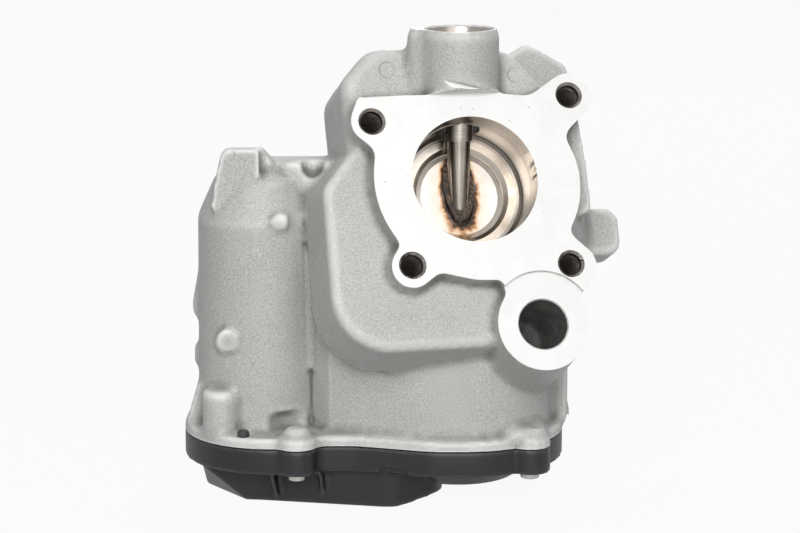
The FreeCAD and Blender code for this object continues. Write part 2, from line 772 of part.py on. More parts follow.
def lower_bush():
    return tube(lower_bush_r, shaft_r + running_gap, lower_bush_top - lower_bush_length, lower_bush_top,
                shaft_x, shaft_y)


def shaft_seal():
    """Lip seal in the bore under the lower bush."""
    top = lower_bush_top - lower_bush_length
    inner = shaft_r + seal_gap
    return turned([
        (seal_r, top), (seal_r, top - seal_length), (inner + 1.6, top - seal_length),
        (inner, top - seal_length + 1.2), (inner, top - seal_length + 2.0), (inner + 1.2, top - 2.0),
        (inner + 1.2, top)], shaft_x, shaft_y)


def shaft_bearing():
    """Ball bearing drawn as its two rings and shield."""
    top = bearing_top()
    foot = top - bearing_length
    inner = shaft_r + running_gap
    outer = tube(bearing_r, bearing_r - 1.8, foot, top, shaft_x, shaft_y)
    shield = tube(bearing_r - 1.8, inner + 1.6, foot + 0.4, top - 0.4, shaft_x, shaft_y)
    core = tube(inner + 1.6, inner, foot, top, shaft_x, shaft_y)
    return outer.multiFuse([shield, core])


def bearing_circlip():
    """Spring ring below the bearing, open at one side."""
    foot = floor_z + 0.6
    ring = tube(circlip_r, bearing_r - 1.5, foot, foot + circlip_thickness, shaft_x, shaft_y)
    gap = Part.makeBox(4.0, 12.0, 4.0, V(shaft_x - 2.0, shaft_y, foot - 1))
    return ring.cut(gap)


def port_plug():
    """Cup plug pressed into the port boss over the shaft end."""
    inner = plug_r - plug_wall
    foot = port_floor
    return turned([
        (0, foot), (plug_r - 1, foot), (plug_r, foot + 1), (plug_r, foot + plug_height),
        (inner, foot + plug_height), (inner, foot + 1.4), (inner - 0.6, foot + plug_wall),
        (0, foot + plug_wall)], shaft_x, shaft_y)


def vent_plug():
    """Black plug in the roof of the gear case, with a domed head."""
    head_r = vent_r + vent_rim
    return turned([
        (0, floor_z), (vent_r, floor_z), (vent_r, ledge_z), (head_r, ledge_z), (head_r, ledge_z + 1.0),
        (head_r - 0.6, ledge_z + 1.6), (0, ledge_z + 1.8)], *vent_centre)


def return_spring():
    """Torsion spring: close coils of round wire, lofted through rings of points."""
    mean = spring_boss_r + spring_gap + spring_wire / 2
    pitch = spring_wire + 0.35
    top = spring_pocket_top - spring_wire / 2 - spring_gap
    sections = []
    for step in range(spring_turns * spring_steps + 1):
        turn = 2 * math.pi * step / spring_steps
        height = top - pitch * step / spring_steps
        ring = []
        for side in range(spring_sides + 1):
            angle = 2 * math.pi * side / spring_sides
            reach = mean + spring_wire / 2 * math.cos(angle)
            ring.append(V(shaft_x + reach * math.cos(turn), shaft_y + reach * math.sin(turn),
                          height + spring_wire / 2 * math.sin(angle)))
        sections.append(Part.makePolygon(ring))
    return Part.makeLoft(sections, True, True)


def tooth_ring(teeth, module, mate_gap, first, count):
    """Points of a spur gear's outline from tooth number first on, count teeth long."""
    pitch_r = module * teeth / 2
    base_r = pitch_r * math.cos(math.radians(20))
    tip_r = pitch_r + module
    root_r = pitch_r - 1.25 * module
    flank = lambda r: math.sqrt(max((r / base_r) ** 2 - 1, 0)) - math.acos(min(base_r / r, 1))
    half_pitch = math.pi / 2 / teeth - mate_gap / 2 / pitch_r + flank(pitch_r)
    start_r = max(base_r, root_r)
    radii = [start_r + (tip_r - start_r) * i / 3 for i in range(4)]
    points = []
    for number in range(first, first + count):
        middle = 2 * math.pi * number / teeth
        rising = [(root_r, middle - half_pitch)] if root_r < base_r else []
        rising += [(r, middle - half_pitch + flank(r)) for r in radii]
        falling = [(r, 2 * middle - angle) for r, angle in reversed(rising)]
        points += rising + falling
    return points


def spur_gear(teeth, module, z0, z1, x, y, tooth_at):
    """Full gear with the middle of one tooth at the angle tooth_at, in degrees."""
    points = tooth_ring(teeth, module, backlash, 0, teeth)
    places = [V(r * math.cos(a), r * math.sin(a), z0) for r, a in points]
    gear = Part.Face(Part.makePolygon(places + places[:1])).extrude(V(0, 0, z1 - z0))
    gear.rotate(V(), V(0, 0, 1), tooth_at)
    gear.translate(V(x, y, 0))
    return gear


def toward(x0, y0, x1, y1):
    return math.degrees(math.atan2(y1 - y0, x1 - x0))


sector_to_axle = toward(shaft_x, shaft_y, axle_x, axle_y)
axle_to_motor = toward(axle_x, axle_y, motor_x, motor_y)


def output_gear():
    """Toothed sector with its hub; the sector trails the mesh by the flap's travel."""
    lead = 2
    points = tooth_ring(sector_teeth, coarse_module, backlash, lead - sector_arc_teeth + 1, sector_arc_teeth)
    places = [V(r * math.cos(a), r * math.sin(a), sector_foot) for r, a in points]
    web = Part.Face(Part.makePolygon([V(0, 0, sector_foot)] + places
                                     + [V(0, 0, sector_foot)]))
    sector = web.extrude(V(0, 0, sector_width))
    tall = tube(sector_r - 3.4, gear_hub_r + 1.6, sector_top - 2.0, sector_top + 1)
    low = tube(sector_r - 3.4, gear_hub_r + 1.6, sector_foot - 1, sector_foot + 2.0)
    sector = sector.cut(tall).cut(low)
    sector.rotate(V(), V(0, 0, 1), sector_to_axle)
    hub = cylinder(gear_hub_r, sector_foot, floor_z - 0.4)
    body = sector.fuse(hub)
    body.translate(V(shaft_x, shaft_y, 0))
    return body.cut(cylinder(shaft_r, -120, 0, shaft_x, shaft_y))


def sensor_magnet():
    """Cup magnet pushed over the lower end of the shaft."""
    collar = tube(magnet_r, shaft_r, sector_foot - magnet_cap, sector_foot, shaft_x, shaft_y)
    return collar.fuse(cylinder(magnet_r, magnet_foot, sector_foot - magnet_cap, shaft_x, shaft_y))


def intermediate_gear():
    """Two-stage gear: small upper teeth drive the sector, the large wheel is driven."""
    gap_to_sector = sector_to_axle + 180 + 180.0 / small_teeth
    small = spur_gear(small_teeth, coarse_module, wheel_top, small_top, axle_x, axle_y, gap_to_sector)
    wheel = spur_gear(wheel_teeth, fine_module, wheel_foot, wheel_top, axle_x, axle_y,
                      axle_to_motor)
    groove = tube(wheel_r - 3.2, small_r + 3.0, wheel_top - 1.6, wheel_top + 1, axle_x, axle_y)
    hub = cylinder(axle_r + 1.8, small_top, floor_z - 0.5, axle_x, axle_y)
    body = wheel.cut(groove).fuse(small).fuse(hub)
    return body.cut(cylinder(axle_r + running_gap, -120, 0, axle_x, axle_y))


def intermediate_axle():
    foot = wheel_foot - 0.6
    return turned([
        (0, foot), (axle_r - 0.4, foot), (axle_r, foot + 0.4), (axle_r, floor_z + 6.6),
        (axle_r - 0.4, floor_z + 7.0), (0, floor_z + 7.0)], axle_x, axle_y)


def motor_can():
    """Drawn steel can with a bearing nose at its closed end."""
    return turned([
        (can_r - can_wall, can_foot), (can_r, can_foot), (can_r, can_top - 1.5), (can_r - 1.5, can_top),
        (6.6, can_top), (6.6, can_top + 3.4), (motor_shaft_r + running_gap, can_top + 3.4),
        (motor_shaft_r + running_gap, can_top - 1.0), (can_r - can_wall - 1.0, can_top - 1.6),
        (can_r - can_wall, can_top - 2.4)], motor_x, motor_y)


def motor_magnets():
    """Two arc magnets bonded inside the can."""
    ring = tube(can_r - can_wall, rotor_r + magnet_gap, can_foot + 8, can_top - 6, motor_x, motor_y)
    slot = Part.makeBox(6.0, 60.0, 80.0, V(motor_x - 3.0, motor_y - 30.0, -90.0))
    return ring.cut(slot)


def motor_end_cap():
    """End plate that closes the can, with an ear to each side for its screws."""
    plate_foot = floor_z - ear_thickness
    body = turned([
        (motor_shaft_r + running_gap, plate_foot - 1.6), (5.0, plate_foot - 1.6), (5.0, plate_foot),
        (can_r, plate_foot), (can_r, can_foot), (can_r - can_wall, can_foot), (can_r - can_wall, can_foot + 2.0),
        (can_r - 3.2, can_foot + 2.0), (can_r - 3.2, can_foot), (motor_shaft_r + running_gap, can_foot)],
        motor_x, motor_y)
    ears = [motor_ear(x, y, plate_foot) for x, y in ear_places]
    body = body.multiFuse(ears)
    for x, y in ear_places:
        body = body.cut(cylinder(motor_screw_r + 0.1, plate_foot - 1, floor_z + 1, x, y))
    return body


def motor_ear(x, y, foot):
    """Ear of the end plate that reaches out to one screw."""
    ear = slab([
        (can_r - 3.0, -ear_half, 0), (ear_reach + ear_half, -ear_half, ear_half - 0.1),
        (ear_reach + ear_half, ear_half, ear_half - 0.1), (can_r - 3.0, ear_half, 0)], foot, floor_z)
    ear.rotate(V(), V(0, 0, 1), toward(motor_x, motor_y, x, y))
    ear.translate(V(motor_x, motor_y, 0))
    return ear


def motor_screws():
    """Two small screws that hold the end plate to the casting."""
    plate_foot = floor_z - ear_thickness
    screws = []
    for x, y in ear_places:
        screws.append(turned([
            (0, plate_foot - 1.2), (2.0, plate_foot - 1.2), (2.4, plate_foot - 0.8), (2.4, plate_foot),
            (motor_screw_r, plate_foot), (motor_screw_r, floor_z + motor_screw_depth),
            (0, floor_z + motor_screw_depth + 0.6)], x, y))
    return Part.makeCompound(screws)


def motor_rotor():
    """Shaft with laminated armature and commutator."""
    shaft = cylinder(motor_shaft_r, wheel_foot - 0.4, can_top + 3.0, motor_x, motor_y)
    stack = cylinder(rotor_r, can_foot + 12, can_top - 8, motor_x, motor_y)
    poles = 5
    for pole in range(poles):
        angle = 2 * math.pi * pole / poles
        x = motor_x + (rotor_r - 1.5) * math.cos(angle)
        y = motor_y + (rotor_r - 1.5) * math.sin(angle)
        stack = stack.cut(cylinder(1.9, -90, 0, x, y))
    commutator = cylinder(4.2, can_foot + 3, can_foot + 11, motor_x, motor_y)
    return fused(shaft, [stack, commutator])


def drive_pinion():
    gap_to_wheel = axle_to_motor + 180 + 180.0 / pinion_teeth
    top = wheel_top + 1.5
    gear = spur_gear(pinion_teeth, fine_module, wheel_foot - 0.2, top, motor_x, motor_y,
                     gap_to_wheel)
    return gear.cut(cylinder(motor_shaft_r, -120, 0, motor_x, motor_y))


def motor_spring_washer():
    """Wave washer between the can and the end of the barrel bore."""
    z0 = can_top
    z1 = barrel_shoulder - 1.0
    return turned([
        (9.0, z0), (13.0, z0 + 0.5), (13.0, z1), (9.0, z1 - 0.5)], motor_x, motor_y)


def hex_socket(r, z0, z1, x, y):
    points = [V(x + r * math.cos(math.radians(60 * i)), y + r * math.sin(math.radians(60 * i)), z0)
              for i in range(7)]
    return Part.Face(Part.makePolygon(points)).extrude(V(0, 0, z1 - z0))


def cover_screws():
    """Flanged screws driven upwards through the cover lobes."""
    screws = []
    for x, y in screw_centres:
        foot = rim_bottom - screw_head_height
        head = turned([
            (0, foot), (2.6, foot), (2.9, foot + 0.3), (2.9, rim_bottom - 0.9), (3.5, rim_bottom - 0.7),
            (3.5, rim_bottom), (screw_r, rim_bottom), (screw_r, ledge_z + 1.0),
            (screw_r - 0.6, ledge_z + 1.6), (0, ledge_z + 1.6)], x, y)
        screws.append(head.cut(hex_socket(1.7, foot - 0.1, foot + 1.5, x, y)))
    return Part.makeCompound(screws)


def cover_shell(grow, skin, rim_inset, top):
    """Outside of the cover, or its hollow when grow is negative."""
    rim = case_slab(rim_inset, rim_bottom + skin, top)
    joint = rim_bottom + skin + 0.5
    dome = turned([
        (0, sensor_floor + skin), (sensor_dome_r - 4.5 + grow, sensor_floor + skin),
        (sensor_dome_r + grow, sensor_floor + skin + 4.0), (sensor_dome_r + 0.6 + grow, joint),
        (0, joint)], shaft_x, shaft_y)
    return rim.multiFuse([deep_box(grow, skin), dome])


def deep_box(grow, skin):
    """Deep part over the motor end and the large wheel, its ends sloping up."""
    top = rim_bottom + skin + 0.5
    foot = deep_floor + skin
    box = slab(grown(deep_corners, grow), foot, top)
    if not grow:
        box = bevelled(box, 1.0, at_height(foot))
    right = deep_corners[3][0] + grow
    slope = Part.Face(Part.makePolygon([
        V(right + 1, -60, foot - 1), V(right - 16.0, -60, foot - 1), V(right - 15.0, -60, foot),
        V(right, -60, foot + 2.4), V(right + 1, -60, foot + 2.4), V(right + 1, -60, foot - 1)])).extrude(V(0, 140, 0))
    return box.cut(slope).cut(corner_cut(skin))


def corner_cut(skin):
    """Space beyond the oblique plane that takes off the deep part's front left corner."""
    left, front = deep_corners[0][:2]
    a = V(left, front, rim_bottom)
    b = V(left + corner_cut_along, front, deep_floor)
    c = V(left, front + corner_cut_back, deep_floor)
    inwards = (b - a).cross(c - a).normalize()
    block = Part.makeBox(200, 200, 60, V(-100, -100, -60))
    block.Placement = FreeCAD.Placement(a + inwards * skin, FreeCAD.Rotation(V(0, 0, 1), inwards))
    return block


def gussets():
    """Leaning triangular ribs that flank the front screw lobe."""
    x, y = screw_centres[0]
    thick = 1.2
    ribs = []
    for top_x, foot_x in ((x - 8.4, x - 7.0), (x + 6.5, x + 7.3)):
        sections = []
        for left, front, z in ((top_x, y - 2.4, rim_bottom + 0.2), (foot_x, y + 3.4, deep_floor + 2.2)):
            sections.append(Part.makePolygon([
                V(left, front, z), V(left + thick, front, z), V(left + thick, y + 8, z), V(left, y + 8, z),
                V(left, front, z)]))
        ribs.append(Part.makeLoft(sections, True, True))
    return ribs


def band_notch():
    """Shallow notch in the lower edge of the cover's rim."""
    left, right = notch_span
    block = Part.makeBox(right - left, 30, notch_height + 1, V(left, -20, rim_bottom - 1))
    return block.cut(case_slab(notch_depth, rim_bottom - 2, rim_bottom + notch_height + 1))


def connector_slab(grow, y0, y1):
    """Upright oval of the plug socket, drawn along the rear."""
    half = connector_half + grow
    high = connector_height / 2 + grow
    wire = outline([
        (-half, -high, high - 0.6), (half, -high, high - 0.6), (half, high, high - 0.6),
        (-half, high, high - 0.6)])
    block = Part.Face(wire).extrude(V(0, 0, y1 - y0))
    block.rotate(V(), V(1, 0, 0), -90)
    block.translate(V(connector_x, y0, connector_z))
    return block


def gear_cover():
    """Moulded cover: rim, deep part, sensor dome, screw lobes and plug socket."""
    body = cover_shell(0, 0, 0, cover_top)
    lobes = at_screws(lambda x, y: cylinder(lobe_r, rim_bottom, cover_top, x, y))
    socket = connector_slab(0, connector_root, connector_end)
    body = body.multiFuse(lobes + gussets() + [socket])
    hollow = cover_shell(-cover_skin, cover_skin, rim_wall, cover_top + 1)
    for x, y in screw_centres:
        hollow = hollow.cut(cylinder(pillar_r, rim_bottom, cover_top + 5, x, y))
        hollow = hollow.cut(cylinder(screw_head_room + 1.6, deep_floor - 5, rim_bottom + cover_skin, x, y))
    body = body.cut(hollow)
    body = body.cut(connector_slab(-connector_wall, connector_floor, connector_end + 1))
    body = body.cut(connector_pins()).cut(band_notch())
    for x, y in screw_centres:
        body = body.cut(cylinder(screw_r + 0.15, rim_bottom - 1, cover_top + 1, x, y))
        body = body.cut(cylinder(screw_head_room, deep_floor - 5, rim_bottom, x, y))
    return body.cut(gasket_band(groove_room, cover_top + 1))


def gasket_band(room, top):
    """Seal that follows the case outline and rings each screw, or its groove with room added."""
    foot = parting - gasket_height
    band = case_slab(gasket_inset - room, foot, top)
    band = band.cut(case_slab(gasket_inset + gasket_width + room, foot - 1, top + 1))
    band = band.multiFuse(at_screws(lambda x, y: cylinder(gasket_ring_r + room, foot, top, x, y)))
    for x, y in screw_centres:
        band = band.cut(cylinder(screw_r + 1.0 - room, foot - 1, top + 1, x, y))
    return band


def cover_gasket():
    return gasket_band(0, parting)


def sensor_board():
    """Board under the magnet, held on the floor of the sensor dome."""
    foot = sensor_floor + cover_skin
    top = foot + board_thickness
    board = slab([
        (shaft_x - 6.2, shaft_y - 10, 2), (shaft_x + 9, shaft_y - 10, 2), (shaft_x + 9, shaft_y + 10, 2),
        (shaft_x - 6.2, shaft_y + 10, 2)], foot, top)
    return board.fuse(Part.makeBox(5, 4, chip_height, V(shaft_x - 2.5, shaft_y - 2, top)))


def connector_pins():
    """Five flat blades in the plug socket."""
    pins = []
    for number in range(5):
        x = connector_x + (number - 2) * pin_pitch
        length = connector_floor + pin_reach - pin_inner_end
        pins.append(Part.makeBox(0.8, length, 1.6, V(x - 0.4, pin_inner_end, connector_z - 0.8)))
    return Part.makeCompound(pins)


nodes = {
    "valve_housing": valve_housing, "seat_ring": seat_ring, "flap_disc": flap_disc,
    "valve_shaft": valve_shaft, "weld_beads": weld_beads, "upper_bush": upper_bush,
    "lower_bush": lower_bush, "shaft_seal": shaft_seal, "shaft_bearing": shaft_bearing,
    "bearing_circlip": bearing_circlip, "port_plug": port_plug, "vent_plug": vent_plug,
    "return_spring": return_spring, "output_gear": output_gear, "sensor_magnet": sensor_magnet,
    "intermediate_gear": intermediate_gear, "intermediate_axle": intermediate_axle,
    "motor_can": motor_can, "motor_magnets": motor_magnets, "motor_end_cap": motor_end_cap,
    "motor_screws": motor_screws, "motor_rotor": motor_rotor, "drive_pinion": drive_pinion, "motor_spring_washer": motor_spring_washer,
    "cover_gasket": cover_gasket, "gear_cover": gear_cover, "cover_screws": cover_screws,
    "sensor_board": sensor_board, "connector_pins": connector_pins}

for name, make in nodes.items():
    shape = make()
    shape.exportStep("parts/" + name + ".step")
    box = shape.BoundBox
    print(name, len(shape.Solids), "solids", round(shape.Volume, 1), "mm3", shape.isValid(),
          [round(v, 1) for v in (box.XMin, box.XMax, box.YMin, box.YMax, box.ZMin, box.ZMax)])
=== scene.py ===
import json
import math

import bmesh
import bpy
import numpy as np
from mathutils import Matrix, Vector


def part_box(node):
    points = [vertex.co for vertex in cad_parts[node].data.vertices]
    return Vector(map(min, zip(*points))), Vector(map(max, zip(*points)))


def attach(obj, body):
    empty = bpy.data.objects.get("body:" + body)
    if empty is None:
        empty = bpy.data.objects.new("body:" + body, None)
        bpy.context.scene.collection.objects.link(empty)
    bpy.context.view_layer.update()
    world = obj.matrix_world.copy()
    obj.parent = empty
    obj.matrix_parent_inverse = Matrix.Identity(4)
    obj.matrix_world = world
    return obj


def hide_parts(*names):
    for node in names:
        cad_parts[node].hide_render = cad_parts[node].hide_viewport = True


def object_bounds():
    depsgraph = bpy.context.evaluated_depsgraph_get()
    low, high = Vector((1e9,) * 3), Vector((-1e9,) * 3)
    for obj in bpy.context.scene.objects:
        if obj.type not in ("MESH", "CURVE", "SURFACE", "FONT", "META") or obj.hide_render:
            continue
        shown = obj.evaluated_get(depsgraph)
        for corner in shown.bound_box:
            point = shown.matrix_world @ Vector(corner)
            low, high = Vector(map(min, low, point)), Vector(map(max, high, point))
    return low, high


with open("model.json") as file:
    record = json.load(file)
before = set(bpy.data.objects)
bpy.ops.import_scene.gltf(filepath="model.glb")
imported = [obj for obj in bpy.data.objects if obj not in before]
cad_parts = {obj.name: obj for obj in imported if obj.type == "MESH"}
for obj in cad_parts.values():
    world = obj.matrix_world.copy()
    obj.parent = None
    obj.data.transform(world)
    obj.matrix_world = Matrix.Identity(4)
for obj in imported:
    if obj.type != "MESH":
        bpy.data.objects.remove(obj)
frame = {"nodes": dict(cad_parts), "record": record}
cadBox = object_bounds()
nodes = frame["nodes"]
mounts = {mount["name"]: mount for mount in frame["record"]["mounts"]}
threadedHoles = [mount for mount in mounts.values() if mount["kind"] == "threaded_hole"]
mm = 0.001
print("frame loaded:", len(nodes), "nodes")

# The flange's own directions, worked out from the inlet bore's axis
gasAxis = Vector(mounts["gas_inlet_bore"]["axis"]).normalized()
flangeAcross = Vector((-gasAxis.y, gasAxis.x, 0)).normalized()
flangeUp = gasAxis.cross(flangeAcross)
shaftAxis = Vector(mounts["top_port_bore"]["pos_m"])
boreRadius = mounts["gas_inlet_bore"]["dims"]["r_mm"] * mm


# Point from flange coordinates in millimetres: across, up the face, out of it
def onFlange(x, y, z):
    return (flangeAcross * x + flangeUp * y + gasAxis * z) * mm


def newObject(name, data):
    obj = bpy.data.objects.new(name, data)
    bpy.context.collection.objects.link(obj)
    return obj


# New object from a finished bmesh
def objectFrom(name, shape):
    mesh = bpy.data.meshes.new(name)
    shape.to_mesh(mesh)
    shape.free()
    return newObject(name, mesh)


# Turns an object's modifiers into plain mesh
def baked(obj):
    bpy.context.view_layer.update()
    shaped = obj.evaluated_get(bpy.context.evaluated_depsgraph_get())
    mesh = bpy.data.meshes.new_from_object(shaped)
    obj.modifiers.clear()
    old = obj.data
    obj.data = mesh
    bpy.data.meshes.remove(old)
    return obj


# Copy of a CAD node with its loose triangles joined along their edges
def mergedCopy(nodeName, name):
    obj = newObject(name, nodes[nodeName].data.copy())
    shape = bmesh.new()
    shape.from_mesh(obj.data)
    bmesh.ops.remove_doubles(shape, verts=shape.verts, dist=1e-6)
    shape.to_mesh(obj.data)
    shape.free()
    obj.data.materials.clear()
    return obj


# One object from several, their meshes laid side by side
def joined(objects, name):
    shape = bmesh.new()
    for obj in objects:
        shape.from_mesh(obj.data)
        bpy.data.objects.remove(obj)
    return objectFrom(name, shape)


# Closed cylinder between two points
def rod(name, start, end, radius, sides=96):
    start, end = Vector(start), Vector(end)
    turn = (end - start).to_track_quat("Z", "Y").to_matrix().to_4x4()
    place = Matrix.Translation((start + end) / 2) @ turn
    shape = bmesh.new()
    bmesh.ops.create_cone(shape, cap_ends=True, segments=sides, radius1=radius, radius2=radius,
                          depth=(end - start).length, matrix=place)
    return objectFrom(name, shape)


# Object from points and faces, its faces turned outwards
def closedMesh(name, points, faces):
    mesh = bpy.data.meshes.new(name)
    mesh.from_pydata([tuple(point) for point in points], [], faces)
    shape = bmesh.new()
    shape.from_mesh(mesh)
    bmesh.ops.recalc_face_normals(shape, faces=shape.faces)
    bpy.data.meshes.remove(mesh)
    return objectFrom(name, shape)


# Closed prism between two outlines with as many corners each
def prism(name, low, high):
    count = len(low)
    sides = [(i, (i + 1) % count, (i + 1) % count + count, i + count) for i in range(count)]
    ends = [tuple(range(count))[::-1], tuple(range(count, 2 * count))]
    return closedMesh(name, low + high, sides + ends)


# Takes the cutter's shape out of obj, and the cutter out of the scene unless it is kept
def cut(obj, cutter, keep=False):
    step = obj.modifiers.new("cut", "BOOLEAN")
    step.operation = "DIFFERENCE"
    step.solver = "MANIFOLD"
    step.object = cutter
    baked(obj)
    if not keep:
        bpy.data.objects.remove(cutter)


# One even skin over all the shapes that obj holds
def recast(obj, voxel):
    step = obj.modifiers.new("recast", "REMESH")
    step.mode = "VOXEL"
    step.voxel_size = voxel * mm
    baked(obj)


def soften(obj, rounds):
    step = obj.modifiers.new("soften", "SMOOTH")
    step.factor = 0.5
    step.iterations = rounds
    baked(obj)


# Normals and centres of a mesh's faces, one row each
def faceTable(mesh):
    normals = np.empty(len(mesh.polygons) * 3)
    centres = np.empty(len(mesh.polygons) * 3)
    mesh.polygons.foreach_get("normal", normals)
    mesh.polygons.foreach_get("center", centres)
    return normals.reshape(-1, 3), centres.reshape(-1, 3)


# Shader group with its named inputs and outputs. Each puts out only masks and heights
def startGroup(name, inputs, outputs):
    group = bpy.data.node_groups.new(name, "ShaderNodeTree")
    for label, kind, value in inputs:
        socket = group.interface.new_socket(label, in_out="INPUT", socket_type=kind)
        socket.default_value = value
    for label, kind in outputs:
        group.interface.new_socket(label, in_out="OUTPUT", socket_type=kind)
    start = group.nodes.new("NodeGroupInput")
    end = group.nodes.new("NodeGroupOutput")
    return group, start.outputs, end.inputs


def link(tree, source, target):
    tree.links.new(source, target)


def objectPlace(tree):
    return tree.nodes.new("ShaderNodeTexCoord").outputs["Object"]


def mathNode(tree, operation, first, second=None, clamp=False):
    node = tree.nodes.new("ShaderNodeMath")
    node.operation = operation
    node.use_clamp = clamp
    for socket, value in zip(node.inputs, (first, second)):
        if isinstance(value, (int, float)):
            socket.default_value = value
        elif value is not None:
            link(tree, value, socket)
    return node.outputs[0]


def noiseNode(tree, where, scale, detail=3.0, roughness=0.55, oneWay=False):
    node = tree.nodes.new("ShaderNodeTexNoise")
    node.inputs["Detail"].default_value = detail
    node.inputs["Roughness"].default_value = roughness
    if isinstance(scale, (int, float)):
        node.inputs["Scale"].default_value = scale
    else:
        link(tree, scale, node.inputs["Scale"])
    if oneWay:
        node.noise_dimensions = "1D"
    link(tree, where, node.inputs["W" if oneWay else "Vector"])
    return node.outputs["Fac"]


def vectorNode(tree, operation, first, second=None):
    node = tree.nodes.new("ShaderNodeVectorMath")
    node.operation = operation
    for socket, value in zip(node.inputs, (first, second)):
        if isinstance(value, tuple):
            socket.default_value = value
        elif value is not None:
            link(tree, value, socket)
    return node


def rangeNode(tree, value, low, high, newLow=0.0, newHigh=1.0):
    node = tree.nodes.new("ShaderNodeMapRange")
    for label, number in (("From Min", low), ("From Max", high), ("To Min", newLow), ("To Max", newHigh)):
        node.inputs[label].default_value = number
    link(tree, value, node.inputs["Value"])
    return node.outputs["Result"]


# Sand-like grain: fine noise plus a coarser one, as a height and as a soft mottling mask
def buildGrainGroup():
    group, given, out = startGroup("castGrain", [
        ("Fine Scale", "NodeSocketFloat", 1800.0), ("Coarse Scale", "NodeSocketFloat", 420.0),
        ("Patch Scale", "NodeSocketFloat", 45.0)], [("Height", "NodeSocketFloat"), ("Mottle", "NodeSocketFloat")])
    where = objectPlace(group)
    fine = noiseNode(group, where, given["Fine Scale"], 2.0, 0.6)
    coarse = noiseNode(group, where, given["Coarse Scale"], 3.0, 0.5)
    patch = noiseNode(group, where, given["Patch Scale"], 3.0, 0.55)
    fineShare = mathNode(group, "MULTIPLY", fine, 0.65)
    height = mathNode(group, "ADD", fineShare, mathNode(group, "MULTIPLY", coarse, 0.35))
    link(group, height, out["Height"])
    link(group, rangeNode(group, patch, 0.3, 0.7), out["Mottle"])
    return group


# Edge masks from the mesh's own curvature: outer edges bright, inner corners dark. On the cast skin the bright
# edges are partly wear and partly a painted highlight, and the dark corners are painted shade
def buildEdgeWearAndShadeGroup():
    group, given, out = startGroup("edgeWearAndShade", [("Spread", "NodeSocketFloat", 1.0)],
                                   [("Edge", "NodeSocketFloat"), ("Corner", "NodeSocketFloat")])
    pointiness = group.nodes.new("ShaderNodeNewGeometry").outputs["Pointiness"]
    edge = rangeNode(group, pointiness, 0.505, 0.535)
    corner = rangeNode(group, pointiness, 0.495, 0.46)
    link(group, mathNode(group, "MULTIPLY", edge, given["Spread"], True), out["Edge"])
    link(group, mathNode(group, "MULTIPLY", corner, given["Spread"], True), out["Corner"])
    return group


# Lathe lines: one-way noise of the distance from an axis plus the way along it
def buildTurningGroup():
    group, given, out = startGroup("turningLines", [
        ("Centre", "NodeSocketVector", (0, 0, 0)), ("Axis", "NodeSocketVector", (0, 0, 1)),
        ("Scale", "NodeSocketFloat", 2000.0)],
        [("Lines", "NodeSocketFloat"), ("Reach", "NodeSocketFloat"), ("Along", "NodeSocketFloat")])
    where = objectPlace(group)
    away = vectorNode(group, "SUBTRACT", where, given["Centre"]).outputs["Vector"]
    along = vectorNode(group, "DOT_PRODUCT", away, given["Axis"]).outputs["Value"]
    scaled = vectorNode(group, "SCALE", given["Axis"])
    link(group, along, scaled.inputs["Scale"])
    radial = vectorNode(group, "SUBTRACT", away, scaled.outputs["Vector"]).outputs["Vector"]
    reach = vectorNode(group, "LENGTH", radial).outputs["Value"]
    way = mathNode(group, "ADD", reach, along)
    link(group, noiseNode(group, way, given["Scale"], 4.0, 0.65, oneWay=True), out["Lines"])
    link(group, reach, out["Reach"])
    link(group, along, out["Along"])
    return group


# Round mark of an ejector pin: one inside its radius, nought outside, with a narrow slope
def buildPinMarkGroup():
    group, given, out = startGroup("pinMark", [
        ("Centre", "NodeSocketVector", (0, 0, 0)), ("Radius", "NodeSocketFloat", 0.002)],
        [("Height", "NodeSocketFloat")])
    where = objectPlace(group)
    away = vectorNode(group, "DISTANCE", where, given["Centre"]).outputs["Value"]
    inside = mathNode(group, "SUBTRACT", given["Radius"], away)
    link(group, rangeNode(group, inside, -0.00025, 0.00025), out["Height"])
    return group


grainGroup = buildGrainGroup()
edgeWearAndShadeGroup = buildEdgeWearAndShadeGroup()
turningGroup = buildTurningGroup()
pinMarkGroup = buildPinMarkGroup()


def startMaterial(name):
    material = bpy.data.materials.new(name)
    material.use_nodes = True
    tree = material.node_tree
    shader = tree.nodes["Principled BSDF"]
    return material, tree, shader


def placeGroup(tree, group, **values):
    node = tree.nodes.new("ShaderNodeGroup")
    node.node_tree = group
    for label, value in values.items():
        node.inputs[label.replace("_", " ")].default_value = value
    return node.outputs


def mixColour(tree, mask, first, second, blend="MIX"):
    node = tree.nodes.new("ShaderNodeMix")
    node.data_type = "RGBA"
    node.blend_type = blend
    colourInputs = [socket for socket in node.inputs if socket.type == "RGBA"]
    if isinstance(mask, (int, float)):
        node.inputs["Factor"].default_value = mask
    else:
        link(tree, mask, node.inputs["Factor"])
    for socket, value in zip(colourInputs, (first, second)):
        if isinstance(value, tuple):
            socket.default_value = (*value, 1.0)
        else:
            link(tree, value, socket)
    return [socket for socket in node.outputs if socket.type == "RGBA"][0]


bumpHeight = {"lines": 0.06 * mm, "disc": 0.05 * mm, "moulded": 0.08 * mm, "cast": 0.2 * mm, "weld": 0.4 * mm}


# Roughness that follows a noise, from less to more than the look's own
def gloss(tree, shader, noise, roughness, less, more):
    link(tree, rangeNode(tree, noise, 0.3, 0.7, roughness - less, roughness + more), shader.inputs["Roughness"])


def bump(tree, shader, height, strength, distance):
    node = tree.nodes.new("ShaderNodeBump")
    node.inputs["Strength"].default_value = strength
    node.inputs["Distance"].default_value = distance
    link(tree, height, node.inputs["Height"])
    link(tree, node.outputs["Normal"], shader.inputs["Normal"])


